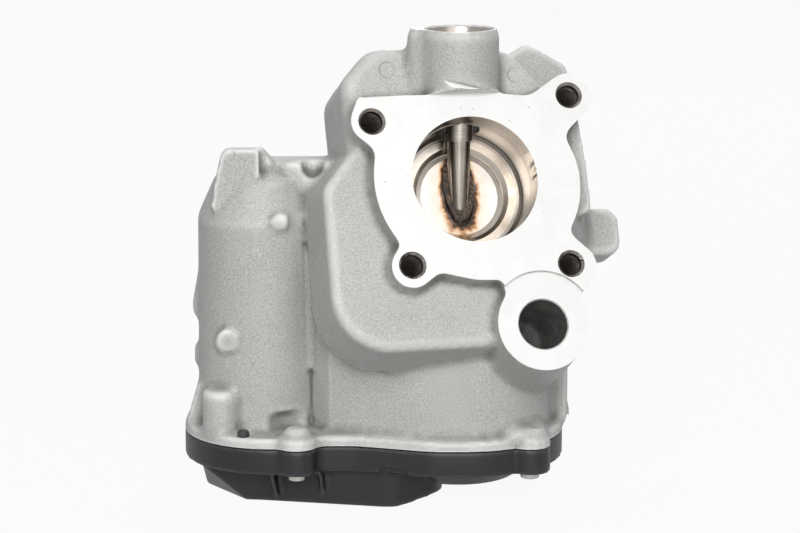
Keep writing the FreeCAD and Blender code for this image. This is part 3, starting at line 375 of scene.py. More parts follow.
def colourRamp(tree, value, stops):
    node = tree.nodes.new("ShaderNodeValToRGB")
    ramp = node.color_ramp
    for place, colour in stops[1:-1]:
        ramp.elements.new(place).color = (*colour, 1.0)
    for end, (place, colour) in ((0, stops[0]), (-1, stops[-1])):
        ramp.elements[end].position = place
        ramp.elements[end].color = (*colour, 1.0)
    link(tree, value, node.inputs[0])
    return node.outputs["Color"]


# On the cast skin, corner is painted shade for inner corners, and edge is partly rubbed wear and partly a painted
# highlight on outer edges
castLook = {
    "colour": (0.385, 0.382, 0.372), "lightPatch": (0.435, 0.431, 0.418), "speckDark": (0.24, 0.237, 0.228),
    "speckLight": (0.60, 0.596, 0.58), "corner": (0.12, 0.117, 0.11), "edge": (0.66, 0.656, 0.642),
    "metallic": 0.1, "specular": 0.3, "roughness": 0.5, "edgeMasks": 0.9, "fineScale": 3300.0, "coarseScale": 1500.0,
    "patchScale": 48.0, "speckScale": 2800.0, "grainStrength": 0.8, "markHeight": 2.2,
    "pinMarks": [((-0.0738, 0.0048, 0.0064), 0.0014), ((-0.0265, 0.0140, 0.0310), 0.0025),
                 ((0.0126, 0.0225, 0.0284), 0.0023), ((0.0186, -0.0046, -0.0755), 0.0018)]}


# Shot-blasted cast skin: grain with light and dark specks, bright edges that are partly rubbed wear and partly a
# painted highlight, inner corners darkened with painted shade, and sunk pin marks
def castMaterial():
    material, tree, shader = startMaterial("castAluminium")
    grain = placeGroup(tree, grainGroup, Fine_Scale=castLook["fineScale"], Coarse_Scale=castLook["coarseScale"],
                       Patch_Scale=castLook["patchScale"])
    edgeMasks = placeGroup(tree, edgeWearAndShadeGroup, Spread=castLook["edgeMasks"])
    where = objectPlace(tree)
    speck = noiseNode(tree, where, castLook["speckScale"], 2.0, 0.6)
    tone = mixColour(tree, grain["Mottle"], castLook["colour"], castLook["lightPatch"])
    tone = mixColour(tree, rangeNode(tree, speck, 0.50, 0.75, 0.0, 0.8), tone, castLook["speckLight"])
    tone = mixColour(tree, rangeNode(tree, speck, 0.50, 0.28, 0.0, 0.8), tone, castLook["speckDark"])
    # Outer edges lightened: partly rubbed wear, partly a painted highlight
    tone = mixColour(tree, edgeMasks["Edge"], tone, castLook["edge"])
    # Inner corners darkened: painted shade
    tone = mixColour(tree, edgeMasks["Corner"], tone, castLook["corner"])
    link(tree, tone, shader.inputs["Base Color"])
    shader.inputs["Metallic"].default_value = castLook["metallic"]
    shader.inputs["Specular IOR Level"].default_value = castLook["specular"]
    gloss(tree, shader, grain["Height"], castLook["roughness"], 0.08, 0.12)
    height = grain["Height"]
    for centre, radius in castLook["pinMarks"]:
        mark = placeGroup(tree, pinMarkGroup, Centre=centre, Radius=radius)
        sunk = mathNode(tree, "MULTIPLY", mark["Height"], castLook["markHeight"])
        height = mathNode(tree, "SUBTRACT", height, sunk)
    bump(tree, shader, height, castLook["grainStrength"], bumpHeight["cast"])
    return material


milledLook = {
    "colour": (0.66, 0.66, 0.65), "stain": (0.58, 0.58, 0.57), "pit": (0.38, 0.37, 0.36), "stainScale": 160.0,
    "pitScale": 420.0, "arcScale": 1500.0, "metallic": 0.2, "roughness": 0.42, "strength": 0.10,
    "cutterCentre": (-0.09, -0.04, -0.06)}


# Face-milled metal: faint arcs of the cutter, light stains and a few small pits
def milledMaterial():
    material, tree, shader = startMaterial("milledAluminium")
    arcs = placeGroup(tree, turningGroup, Centre=milledLook["cutterCentre"], Axis=tuple(gasAxis),
                      Scale=milledLook["arcScale"])
    where = objectPlace(tree)
    stain = noiseNode(tree, where, milledLook["stainScale"], 4.0, 0.6)
    pit = noiseNode(tree, where, milledLook["pitScale"], 1.0, 0.5)
    colour = mixColour(tree, rangeNode(tree, stain, 0.4, 0.75, 0.0, 0.5), milledLook["colour"], milledLook["stain"])
    colour = mixColour(tree, rangeNode(tree, pit, 0.76, 0.79), colour, milledLook["pit"])
    link(tree, colour, shader.inputs["Base Color"])
    shader.inputs["Metallic"].default_value = milledLook["metallic"]
    gloss(tree, shader, arcs["Lines"], milledLook["roughness"], 0.07, 0.07)
    bump(tree, shader, arcs["Lines"], milledLook["strength"], bumpHeight["lines"])
    return material


# Turned or ground metal: lines round its own axis in colour, gloss and height, over a soft smear
def turnedMaterial(name, look):
    material, tree, shader = startMaterial(name)
    lines = placeGroup(tree, turningGroup, Centre=look["centre"], Axis=look["axis"], Scale=look["lineScale"])
    where = objectPlace(tree)
    smear = noiseNode(tree, where, look["smearScale"], 3.0, 0.6)
    colour = mixColour(tree, rangeNode(tree, lines["Lines"], 0.35, 0.65), look["colour"], look["lineColour"])
    colour = mixColour(tree, rangeNode(tree, smear, 0.45, 0.75, 0.0, look["smear"]), colour, look["smearColour"])
    link(tree, colour, shader.inputs["Base Color"])
    shader.inputs["Metallic"].default_value = look["metallic"]
    change = look.get("glossChange", 0.06)
    gloss(tree, shader, lines["Lines"], look["roughness"], change, change)
    bump(tree, shader, lines["Lines"], look["lineStrength"], bumpHeight["lines"])
    return material


shaftPlace = (shaftAxis.x, shaftAxis.y, 0.0)
upAxis = (0.0, 0.0, 1.0)
turnedLooks = {
    "boredAluminium": {
        "centre": (0.0, 0.0, 0.0), "axis": tuple(gasAxis), "lineScale": 2600.0, "colour": (0.34, 0.315, 0.285),
        "lineColour": (0.27, 0.25, 0.225), "smearScale": 60.0, "smear": 0.6, "smearColour": (0.22, 0.19, 0.16),
        "metallic": 1.0, "roughness": 0.26, "lineStrength": 0.2},
    "threadMetal": {
        "centre": (0.0, 0.0, 0.0), "axis": tuple(gasAxis), "lineScale": 1500.0, "colour": (0.30, 0.285, 0.26),
        "lineColour": (0.20, 0.18, 0.16), "smearScale": 300.0, "smear": 0.8, "smearColour": (0.10, 0.08, 0.065),
        "metallic": 0.85, "roughness": 0.34, "lineStrength": 0.15},
    # The coolant way's wall: near black as painted shade, darker than the grey cast metal it is
    "coolantPaintedShade": {
        "centre": (0.0, 0.0, 0.0), "axis": tuple(gasAxis), "lineScale": 900.0, "colour": (0.075, 0.074, 0.07),
        "lineColour": (0.05, 0.05, 0.048), "smearScale": 250.0, "smear": 0.8, "smearColour": (0.12, 0.115, 0.105),
        "metallic": 0.3, "roughness": 0.5, "lineStrength": 0.2},
    "groundShaft": {
        "centre": shaftPlace, "axis": upAxis, "lineScale": 2400.0, "colour": (0.40, 0.37, 0.33),
        "lineColour": (0.395, 0.365, 0.325), "smearScale": 120.0, "smear": 0.6, "smearColour": (0.24, 0.20, 0.16),
        "metallic": 1.0, "roughness": 0.22, "glossChange": 0.01, "lineStrength": 0.0},
    "sinteredBush": {
        "centre": shaftPlace, "axis": upAxis, "lineScale": 1800.0, "colour": (0.40, 0.37, 0.33),
        "lineColour": (0.30, 0.27, 0.24), "smearScale": 500.0, "smear": 0.7, "smearColour": (0.20, 0.17, 0.14),
        "metallic": 1.0, "roughness": 0.36, "lineStrength": 0.15},
    "seatSteel": {
        "centre": (0.0, 0.0, 0.0), "axis": tuple(gasAxis), "lineScale": 2600.0, "colour": (0.50, 0.46, 0.41),
        "lineColour": (0.42, 0.38, 0.33), "smearScale": 90.0, "smear": 0.8, "smearColour": (0.27, 0.20, 0.14),
        "metallic": 1.0, "roughness": 0.22, "lineStrength": 0.15},
    "zincSteel": {
        "centre": (0.0, 0.0, 0.0), "axis": upAxis, "lineScale": 700.0, "colour": (0.46, 0.46, 0.44),
        "lineColour": (0.40, 0.40, 0.38), "smearScale": 400.0, "smear": 0.6, "smearColour": (0.28, 0.27, 0.25),
        "metallic": 0.9, "roughness": 0.36, "lineStrength": 0.08},
    "springSteel": {
        "centre": shaftPlace, "axis": upAxis, "lineScale": 900.0, "colour": (0.24, 0.24, 0.25),
        "lineColour": (0.18, 0.18, 0.19), "smearScale": 300.0, "smear": 0.5, "smearColour": (0.12, 0.11, 0.11),
        "metallic": 1.0, "roughness": 0.35, "lineStrength": 0.1},
    "motorSteel": {
        "centre": (0.0, 0.0, 0.0), "axis": upAxis, "lineScale": 800.0, "colour": (0.58, 0.58, 0.57),
        "lineColour": (0.52, 0.52, 0.51), "smearScale": 120.0, "smear": 0.4, "smearColour": (0.44, 0.43, 0.40),
        "metallic": 1.0, "roughness": 0.30, "lineStrength": 0.06},
    "armatureSteel": {
        "centre": (0.0, 0.0, 0.0), "axis": upAxis, "lineScale": 3000.0, "colour": (0.36, 0.34, 0.32),
        "lineColour": (0.20, 0.19, 0.18), "smearScale": 200.0, "smear": 0.4, "smearColour": (0.30, 0.22, 0.14),
        "metallic": 0.9, "roughness": 0.38, "lineStrength": 0.3},
    "brass": {
        "centre": (0.0, 0.0, 0.0), "axis": upAxis, "lineScale": 900.0, "colour": (0.72, 0.54, 0.26),
        "lineColour": (0.64, 0.47, 0.22), "smearScale": 260.0, "smear": 0.5, "smearColour": (0.46, 0.31, 0.13),
        "metallic": 1.0, "roughness": 0.28, "lineStrength": 0.1}}

discLook = {
    "stops": [(0.0, (0.025, 0.016, 0.011)), (0.06, (0.05, 0.026, 0.015)), (0.12, (0.26, 0.12, 0.05)),
              (0.18, (0.48, 0.33, 0.20)), (0.30, (0.60, 0.52, 0.44)), (0.70, (0.64, 0.58, 0.53)),
              (1.0, (0.66, 0.62, 0.58))],
    "cloudColour": (0.48, 0.41, 0.36), "cloudScale": 95.0, "waverScale": 330.0, "waver": 0.7 * mm,
    "fineScale": 900.0, "shaftRadius": 3.5 * mm, "beadWidth": 1.2 * mm, "reach": 6.0 * mm, "metallic": 0.6,
    "roughness": 0.32, "strength": 0.12}


# Stainless disc with heat colours beside the weld. The shaft cuts the disc in an ellipse, and the way from it is
# (e - radius) * e / sqrt(a a + (b s s)(b s s)), with e the distance from the axis, a across, b up and s the
# sine of the slant
def tintedDiscMaterial():
    material, tree, shader = startMaterial("tintedStainless")
    rings = placeGroup(tree, turningGroup, Centre=shaftPlace, Axis=upAxis, Scale=400.0)
    where = objectPlace(tree)
    drop = shaftAxis.z + shaftAxis.dot(Vector((gasAxis.x, gasAxis.y, 0))) / gasAxis.z
    middle = shaftAxis - Vector((0, 0, drop))
    away = vectorNode(tree, "SUBTRACT", where, tuple(middle)).outputs["Vector"]
    across = vectorNode(tree, "DOT_PRODUCT", away, tuple(flangeAcross)).outputs["Value"]
    up = vectorNode(tree, "DOT_PRODUCT", away, tuple(flangeUp)).outputs["Value"]
    flatUp = mathNode(tree, "MULTIPLY", up, gasAxis.z ** 2)
    squares = [mathNode(tree, "MULTIPLY", part, part) for part in (across, flatUp)]
    steep = mathNode(tree, "SQRT", mathNode(tree, "ADD", *squares))
    past = mathNode(tree, "SUBTRACT", rings["Reach"], discLook["shaftRadius"])
    away = mathNode(tree, "DIVIDE", mathNode(tree, "MULTIPLY", past, rings["Reach"]), steep)
    waver = noiseNode(tree, where, discLook["waverScale"], 3.0, 0.6)
    cloud = noiseNode(tree, where, discLook["cloudScale"], 3.0, 0.6)
    away = mathNode(tree, "ADD", away, rangeNode(tree, waver, 0.25, 0.75, -discLook["waver"], discLook["waver"]))
    span = rangeNode(tree, away, discLook["beadWidth"] * 0.6, discLook["reach"])
    colour = colourRamp(tree, span, discLook["stops"])
    colour = mixColour(tree, rangeNode(tree, cloud, 0.5, 0.78, 0.0, 0.5), colour, discLook["cloudColour"])
    link(tree, colour, shader.inputs["Base Color"])
    shader.inputs["Metallic"].default_value = discLook["metallic"]
    fine = noiseNode(tree, where, discLook["fineScale"], 3.0, 0.6)
    gloss(tree, shader, fine, discLook["roughness"], 0.06, 0.10)
    bump(tree, shader, fine, discLook["strength"], bumpHeight["disc"])
    return material


# Plastic or rubber: a fine moulded grain, a soft change of tone and paler outer edges
def mouldedMaterial(name, look):
    material, tree, shader = startMaterial(name)
    grain = placeGroup(tree, grainGroup, Fine_Scale=look["grainScale"], Coarse_Scale=look["grainScale"] / 3,
                       Patch_Scale=40.0)
    edgeMasks = placeGroup(tree, edgeWearAndShadeGroup, Spread=look["edgeMasks"])
    tone = mixColour(tree, grain["Mottle"], look["colour"], look["patch"])
    tone = mixColour(tree, edgeMasks["Edge"], tone, look["edge"])
    link(tree, tone, shader.inputs["Base Color"])
    gloss(tree, shader, grain["Height"], look["roughness"], 0.06, 0.08)
    shader.inputs["Specular IOR Level"].default_value = look.get("specular", 0.5)
    bump(tree, shader, grain["Height"], look["strength"], bumpHeight["moulded"])
    return material


mouldedLooks = {
    "coverPlastic": {"colour": (0.008, 0.008, 0.0095), "patch": (0.012, 0.012, 0.0135), "edge": (0.04, 0.04, 0.045),
                     "specular": 0.38, "grainScale": 2200.0, "edgeMasks": 0.6, "roughness": 0.46, "strength": 0.35},
    "plugPlastic": {"colour": (0.012, 0.012, 0.013), "patch": (0.02, 0.02, 0.02), "edge": (0.05, 0.05, 0.05),
                    "grainScale": 1800.0, "edgeMasks": 0.4, "roughness": 0.42, "strength": 0.3},
    "gearPlastic": {"colour": (0.72, 0.69, 0.60), "patch": (0.66, 0.63, 0.54), "edge": (0.80, 0.77, 0.69),
                    "grainScale": 1600.0, "edgeMasks": 0.5, "roughness": 0.42, "strength": 0.2},
    "capPlastic": {"colour": (0.07, 0.07, 0.078), "patch": (0.085, 0.085, 0.09), "edge": (0.13, 0.13, 0.14),
                   "grainScale": 1900.0, "edgeMasks": 0.5, "roughness": 0.48, "strength": 0.3},
    "sealRubber": {"colour": (0.022, 0.020, 0.020), "patch": (0.030, 0.027, 0.026), "edge": (0.05, 0.047, 0.045),
                   "grainScale": 1500.0, "edgeMasks": 0.3, "roughness": 0.62, "strength": 0.35},
    "magnetBlack": {"colour": (0.085, 0.085, 0.09), "patch": (0.11, 0.11, 0.115), "edge": (0.20, 0.20, 0.21),
                    "grainScale": 2600.0, "edgeMasks": 0.6, "roughness": 0.50, "strength": 0.5},
    "boardLacquer": {"colour": (0.02, 0.14, 0.055), "patch": (0.025, 0.17, 0.065), "edge": (0.14, 0.20, 0.11),
                     "grainScale": 900.0, "edgeMasks": 0.4, "roughness": 0.28, "strength": 0.12}}

weldLook = {"colour": (0.035, 0.028, 0.024), "patch": (0.10, 0.065, 0.04), "metallic": 0.8, "roughness": 0.42,
            "rippleScale": 950.0, "crustScale": 420.0, "strength": 0.9}


# Weld bead: dark scaled metal with short ripples
def weldMaterial():
    material, tree, shader = startMaterial("darkWeld")
    where = objectPlace(tree)
    ripple = noiseNode(tree, where, weldLook["rippleScale"], 2.0, 0.5)
    crust = noiseNode(tree, where, weldLook["crustScale"], 3.0, 0.6)
    tone = mixColour(tree, rangeNode(tree, crust, 0.45, 0.72), weldLook["colour"], weldLook["patch"])
    link(tree, tone, shader.inputs["Base Color"])
    shader.inputs["Metallic"].default_value = weldLook["metallic"]
    gloss(tree, shader, crust, weldLook["roughness"], 0.1, 0.1)
    bump(tree, shader, ripple, weldLook["strength"], bumpHeight["weld"])
    return material


cast = castMaterial()
milled = milledMaterial()
finishes = {name: turnedMaterial(name, look) for name, look in turnedLooks.items()}
finishes.update({name: mouldedMaterial(name, look) for name, look in mouldedLooks.items()})
finishes["tintedStainless"] = tintedDiscMaterial()
finishes["darkWeld"] = weldMaterial()
print("finishes made:", len(finishes) + 2)

nodeFinish = {
    "seat_ring": "seatSteel", "flap_disc": "tintedStainless", "valve_shaft": "groundShaft",
    "weld_beads": "darkWeld", "upper_bush": "sinteredBush", "lower_bush": "sinteredBush",
    "shaft_seal": "sealRubber", "shaft_bearing": "motorSteel", "bearing_circlip": "springSteel",
    "port_plug": "zincSteel",
    "vent_plug": "plugPlastic", "return_spring": "springSteel", "output_gear": "gearPlastic",
    "sensor_magnet": "magnetBlack", "intermediate_gear": "gearPlastic", "intermediate_axle": "motorSteel",
    "motor_can": "motorSteel", "motor_magnets": "magnetBlack", "motor_end_cap": "capPlastic",
    "motor_screws": "zincSteel", "motor_rotor": "armatureSteel", "drive_pinion": "brass",
    "motor_spring_washer": "springSteel", "cover_gasket": "sealRubber", "gear_cover": "coverPlastic",
    "cover_screws": "zincSteel", "sensor_board": "boardLacquer", "connector_pins": "brass"}
for nodeName, finish in nodeFinish.items():
    for slot in nodes[nodeName].material_slots:
        slot.material = finishes[finish]
print("nodes finished:", len(nodeFinish))

# The casting: the CAD solid with soft cast edges, milled faces and bores cut crisp again. Sizes in millimetres.
# A plug fills a bore: how far in (threads and coolant: past the end), how far out of the mouth, how much wider.
# Faces count as part of a plane when they face its way and lie within planeOff of it
castingShape = {
    "voxel": 0.96, "smoothing": 3, "stock": 2.0, "stockSunk": 0.5, "threadPlug": (1, 8, 1.1),
    "coolantPlug": (6, 8, 0.9), "portPlug": (10, 10, 0.9), "gasPlug": (50, 8, 0.9), "bossPlug": (-3, 14, 8.7),
    "springRoom": (3.0, 1.5), "shaftPlug": (7.2, 36.0), "motorRoom": (0.6, 0.5), "footDrop": 8.0,
    "slabHeight": 12.0, "facetLevel": 3.6, "facetHeight": 16.0, "planeFacing": 0.999, "planeOff": 0.02,
    "inletSlabs": [((-46, 46), (-62, 26.8)), ((16, 46), (26, 38))], "outletSlab": ((-70, 70), (-36, 70)),
    "partingSlab": ((-120, 60), (-60, 80)), "portSlab": ((-40, 40), (-40, 40)),
    "facetCorners": [(-20.0, 26.0), (7.2, 26.0), (-8.2, 30.2), (-20.0, 33.4)],
    "sideTrim": [(30.0, 12.5), (30.9, 7.5), (31.6, 2.7), (31.4, -2.1), (30.9, -6.8), (29.8, -11.5), (27.7, -15.5),
                 (40.0, -15.5), (42.0, 12.5)], "trimLean": 4.0, "trimSpan": (-5.0, 3.0),
    "sideWall": [(30.0, 24.0), (37.6, 22.0), (38.2, 12.0), (38.6, 3.0), (38.4, -9.0), (30.0, -12.0)],
    "wallSpan": (-26.0, -9.0),
    "grooves": [([(-57.0, 6.0), (-48.0, 6.0), (-48.0, 20.0), (-57.0, 20.0)], (-60.0, -12.0)),
                ([(-49.0, 6.6), (-45.2, 2.2), (-38.0, 2.2), (-38.0, 20.0), (-49.0, 20.0)], (-77.0, -12.0))],
    "pads": [((-75.2, 8.0, -49.9), (-75.2, -0.4, -49.9), 3.3), ((-58.5, 8.0, -13.0), (-58.5, -0.7, -13.0), 2.4)]}


# Cylinder that fills a round mount and stands out of its mouth
def boreRod(mount, before, beyond, extra):
    place, axis = Vector(mount["pos_m"]), Vector(mount["axis"])
    radius = (mount["dims"]["r_mm"] + extra) * mm
    return rod("fill", place - axis * before * mm, place + axis * beyond * mm, radius)


# Upright cylinder from below the casting's foot
def footRod(x, y, top, radius):
    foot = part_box("valve_housing")[0][2] - castingShape["footDrop"] * mm
    return rod("fill", (x, y, foot), (x, y, top), radius)


# Everything that is cut from the casting after it is cast: bores, pockets and holes
def fillingShapes():
    deeper, beyond, wider = castingShape["threadPlug"]
    fills = [boreRod(mount, mount["dims"]["length_mm"] + deeper, beyond, wider) for mount in threadedHoles]
    deeper, beyond, wider = castingShape["gasPlug"]
    gasWay = Vector(mounts["gas_inlet_bore"]["axis"])
    fills.append(rod("fill", gasWay * (beyond * mm), gasWay * (-deeper * mm), boreRadius + wider * mm))
    deeper, beyond, wider = castingShape["coolantPlug"]
    coolant = mounts["coolant_bore"]
    fills.append(boreRod(coolant, coolant["dims"]["length_mm"] + deeper, beyond, wider))
    fills.append(boreRod(mounts["top_port_bore"], *castingShape["portPlug"]))
    room, above = castingShape["springRoom"]
    low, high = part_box("return_spring")
    fills.append(footRod(shaftAxis.x, shaftAxis.y, high[2] + above * mm, (high[0] - low[0]) / 2 + room * mm))
    radius, top = castingShape["shaftPlug"]
    fills.append(footRod(shaftAxis.x, shaftAxis.y, top * mm, radius * mm))
    room, above = castingShape["motorRoom"]
    low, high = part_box("motor_can")
    fills.append(footRod((low[0] + high[0]) / 2, (low[1] + high[1]) / 2, high[2] + above * mm,
                         (high[0] - low[0]) / 2 + room * mm))
    return fills


# Copy of the faces of obj that lie in one plane
def planeFaces(obj, place, axis):
    normals, centres = faceTable(obj.data)
    facing = normals @ np.array(axis) > castingShape["planeFacing"]
    level = np.abs((centres - np.array(place)) @ np.array(axis)) < castingShape["planeOff"] * mm
    keep = set(np.nonzero(facing & level)[0].tolist())
    shape = bmesh.new()
    shape.from_mesh(obj.data)
    shape.faces.ensure_lookup_table()
    bmesh.ops.delete(shape, geom=[face for face in shape.faces if face.index not in keep], context="FACES")
    return objectFrom("stock", shape)


# Machining stock on a plane face, sunk a little into the casting
def stockOn(obj, place, axis):
    sheet = planeFaces(obj, place, axis)
    thickness, sunk = castingShape["stock"] * mm, castingShape["stockSunk"] * mm
    step = sheet.modifiers.new("thick", "SOLIDIFY")
    step.thickness = thickness + sunk
    step.offset = (thickness - sunk) / (thickness + sunk)
    return baked(sheet)


# Planes that are milled after casting: a point of each and its outward direction
def milledPlanes():
    low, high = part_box("valve_housing")
    down = Vector((0, 0, -1))
    outlet = mounts["gas_outlet_face"]
    return {"inlet": (Vector((0, 0, 0)), gasAxis), "outlet": (Vector(outlet["pos_m"]), Vector(outlet["axis"])),
            "coolant": (Vector(mounts["coolant_face"]["pos_m"]), gasAxis),
            "parting": (Vector((0, 0, low[2])), down), "port": (Vector((0, 0, high[2])), -down)}


# Casting with stock on its milled planes and its bores filled, under one softened skin
def roughCasting(planes):
    rough = mergedCopy("valve_housing", "roughCasting")
    stock = [stockOn(rough, *plane) for plane in planes.values()]
    rough = joined([rough] + stock, "roughCasting")
    recast(rough, castingShape["voxel"])
    added = [shapeRightSide(rough)] + grooveFills() + barrelPads()
    rough = joined([rough] + added + fillingShapes(), "roughCasting")
    recast(rough, castingShape["voxel"])
    print("recast:", len(rough.data.polygons), "faces")
    soften(rough, castingShape["smoothing"])
    return rough


# Bores, pockets and milled planes. Each cutter first loses what the CAD solid fills, so that it leaves that shape
def millingCutters(planes):
    cutters = fillingShapes()
    cutters += [slab(planes["inlet"], *sides) for sides in castingShape["inletSlabs"]]
    cutters.append(facetCutter())
    for name in ("outlet", "parting", "port"):
        cutters.append(slab(planes[name], *castingShape[name + "Slab"]))
    cutters.append(boreRod(mounts["coolant_bore"], *castingShape["bossPlug"]))
    solid = mergedCopy("valve_housing", "solidCasting")
    for cutter in cutters:
        cut(cutter, solid, keep=True)
    bpy.data.objects.remove(solid)
    return cutters


def softCasting():
    planes = milledPlanes()
    rough = roughCasting(planes)
    cutters = millingCutters(planes) + [threadCutter(mount) for mount in threadedHoles]
    print("cutting", len(cutters), "features")
    for cutter in cutters:
        cut(rough, cutter)
    planes["facet"] = (onFlange(0, 0, castingShape["facetLevel"]), gasAxis)
    finishCasting(rough, planes)
    return rough


# Prism between two outlines at two levels over the flange
def flangePrism(name, lowOutline, lowLevel, highOutline, highLevel):
    return prism(name, [onFlange(x, y, lowLevel) for x, y in lowOutline],
                 [onFlange(x, y, highLevel) for x, y in highOutline])


# Small flat that the mill leaves on the port boss
def facetCutter():
    corners, level = castingShape["facetCorners"], castingShape["facetLevel"]
    return flangePrism("facet", corners, level, corners, level + castingShape["facetHeight"])


# The plate's right edge is trimmed to a leaning side, and the chamber wall behind it stands a little further out
def shapeRightSide(obj):
    trim, (low, high) = castingShape["sideTrim"], castingShape["trimSpan"]
    leaning = [(x + castingShape["trimLean"], y) for x, y in trim]
    cut(obj, flangePrism("sideTrim", leaning, low, trim, high))
    wall, (low, high) = castingShape["sideWall"], castingShape["wallSpan"]
    return flangePrism("sideWall", wall, low, wall, high)


# Blocks that fill the bottom of the groove between the barrel and the duct, as the casting's wide fillet does
def grooveFills():
    return [prism("grooveFill", *[[(x * mm, y * mm, z * mm) for x, y in plan] for z in span])
            for plan, span in castingShape["grooves"]]


# Round pads that stand on the motor barrel
def barrelPads():
    return [rod("pad", Vector(foot) * mm, Vector(top) * mm, radius * mm)
            for foot, top, radius in castingShape["pads"]]


threadShape = {
    "pitch": 1.25, "depth": 0.55, "overlap": 0.06, "sides": 26, "rowsPerTurn": 5, "mouth": 0.9, "foot": 1.2,
    "flanks": 1.3, "flatRoot": 0.15}


# Thread of a hole: the tapping radius plus depth times a clipped triangle wave of height / pitch less angle / turn
def threadCutter(mount):
    length, pitch, sides = mount["dims"]["length_mm"], threadShape["pitch"], threadShape["sides"]
    root = mount["dims"]["r_mm"] - threadShape["overlap"]
    rows = int((length - threadShape["foot"]) / pitch * threadShape["rowsPerTurn"])
    height = np.linspace(threadShape["foot"] - length, -threadShape["mouth"], rows)
    up, around = np.meshgrid(height, np.arange(sides) / sides, indexing="ij")
    wave = np.abs(2 * ((up / pitch - around) % 1) - 1)
    wave = np.clip(threadShape["flanks"] * wave - threadShape["flatRoot"], 0, 1)
    reach = root + (threadShape["depth"] + threadShape["overlap"]) * wave
    reach[0] = reach[-1] = root
    frameTurn = np.array(Vector(mount["axis"]).to_track_quat("Z", "Y").to_matrix())
    local = np.stack([reach * np.cos(2 * np.pi * around), reach * np.sin(2 * np.pi * around), up], axis=-1) * mm
    points = (local.reshape(-1, 3) @ frameTurn.T + np.array(Vector(mount["pos_m"]))).tolist()
    a, b = np.meshgrid(np.arange(rows - 1) * sides, np.arange(sides), indexing="ij")
    nextB = (b + 1) % sides
    quads = np.stack([a + b, a + sides + b, a + sides + nextB, a + nextB], axis=-1).reshape(-1, 4).tolist()
    ends = [list(range(sides)), list(range((rows - 1) * sides, rows * sides))]
    return closedMesh("thread", points, quads + ends)


# Where each finish of the casting lies: distance past a mount's radius and depth from its mouth, in millimetres.
# A chamfer's faces lean: their normal along the mount's axis lies between the two values of chamferLean
castingFinish = {
    "slots": ("cast", "milled", "bored", "thread", "coolant"),
    "regions": [("gas_inlet_bore", 0.9, 75, "bored"), ("gas_outlet_bore", 0.9, 12, "bored"),
                ("top_port_bore", 0.9, 12, "bored"), ("coolant_bore", 0.3, 40, "coolant")],
    "chamfers": ("gas_inlet_bore", "coolant_bore", "top_port_bore"), "chamferReach": 1.6, "chamferDeep": 1.4,
    "chamferLean": (0.3, 0.97), "chamferPast": 0.1, "threadReach": 0.7, "pastMouth": 2.5, "planeLevel": 0.03,
    "planeFacing": 0.98, "sharpAngle": 32, "boredSharpAngle": 14}
slotOf = {name: number for number, name in enumerate(castingFinish["slots"])}


# Round region about a mount's axis: within its radius plus extra, from deep inside to just past the mouth
def aroundMount(centres, mount, extra, deep):
    axis = np.array(mount["axis"])
    away = centres - np.array(mount["pos_m"])
    along = away @ axis
    radial = np.linalg.norm(away - along[:, None] * axis, axis=1)
    inside = radial < (mount["dims"]["r_mm"] + extra) * mm
    return inside & (along > -deep * mm) & (along < castingFinish["pastMouth"] * mm)


# Each face of the casting gets its finish by place: cast skin, milled planes, bores, threads, and the coolant way
# painted near black as shade
def finishCasting(obj, planes):
    mesh = obj.data
    normals, centres = faceTable(mesh)
    index = np.zeros(len(mesh.polygons), dtype=np.int32)
    flat = np.zeros(len(mesh.polygons), dtype=bool)
    for name, extra, deep, finish in castingFinish["regions"]:
        index[aroundMount(centres, mounts[name], extra, deep)] = slotOf[finish]
    for mount in threadedHoles:
        region = aroundMount(centres, mount, castingFinish["threadReach"], mount["dims"]["length_mm"] + 1)
        index[region] = slotOf["thread"]
    for name in castingFinish["chamfers"]:
        axis = np.array(mounts[name]["axis"])
        depth = (centres - np.array(mounts[name]["pos_m"])) @ axis
        lean = normals @ axis
        rim = aroundMount(centres, mounts[name], castingFinish["chamferReach"], castingFinish["chamferDeep"])
        least, most = castingFinish["chamferLean"]
        outermost = depth < castingFinish["chamferPast"] * mm
        index[rim & (lean > least) & (lean < most) & outermost] = slotOf["milled"]
    for place, axis in planes.values():
        level = np.abs((centres - np.array(place)) @ np.array(axis)) < castingFinish["planeLevel"] * mm
        onPlane = level & (normals @ np.array(axis) > castingFinish["planeFacing"])
        flat |= onPlane
        index[onPlane] = slotOf["milled"]
    mesh.materials.clear()
    for material in (cast, milled, finishes["boredAluminium"], finishes["threadMetal"], finishes["coolantPaintedShade"]):
        mesh.materials.append(material)
    mesh.polygons.foreach_set("material_index", index)
    mesh.polygons.foreach_set("use_smooth", ~flat)
    mesh.update()
    mesh.set_sharp_from_angle(angle=math.radians(castingFinish["sharpAngle"]))
    mesh.polygons.foreach_set("use_smooth", ~flat)
    sharpenBored(mesh)


# Turned walls are made of long thin faces, so their slight corners are sharp too
def sharpenBored(mesh):
    bored, least = slotOf["bored"], math.radians(castingFinish["boredSharpAngle"])
    shape = bmesh.new()
    shape.from_mesh(mesh)
    for edge in shape.edges:
        turned = len(edge.link_faces) == 2 and all(face.material_index == bored for face in edge.link_faces)
        if turned and edge.calc_face_angle() > least:
            edge.smooth = False
    shape.to_mesh(mesh)
    shape.free()


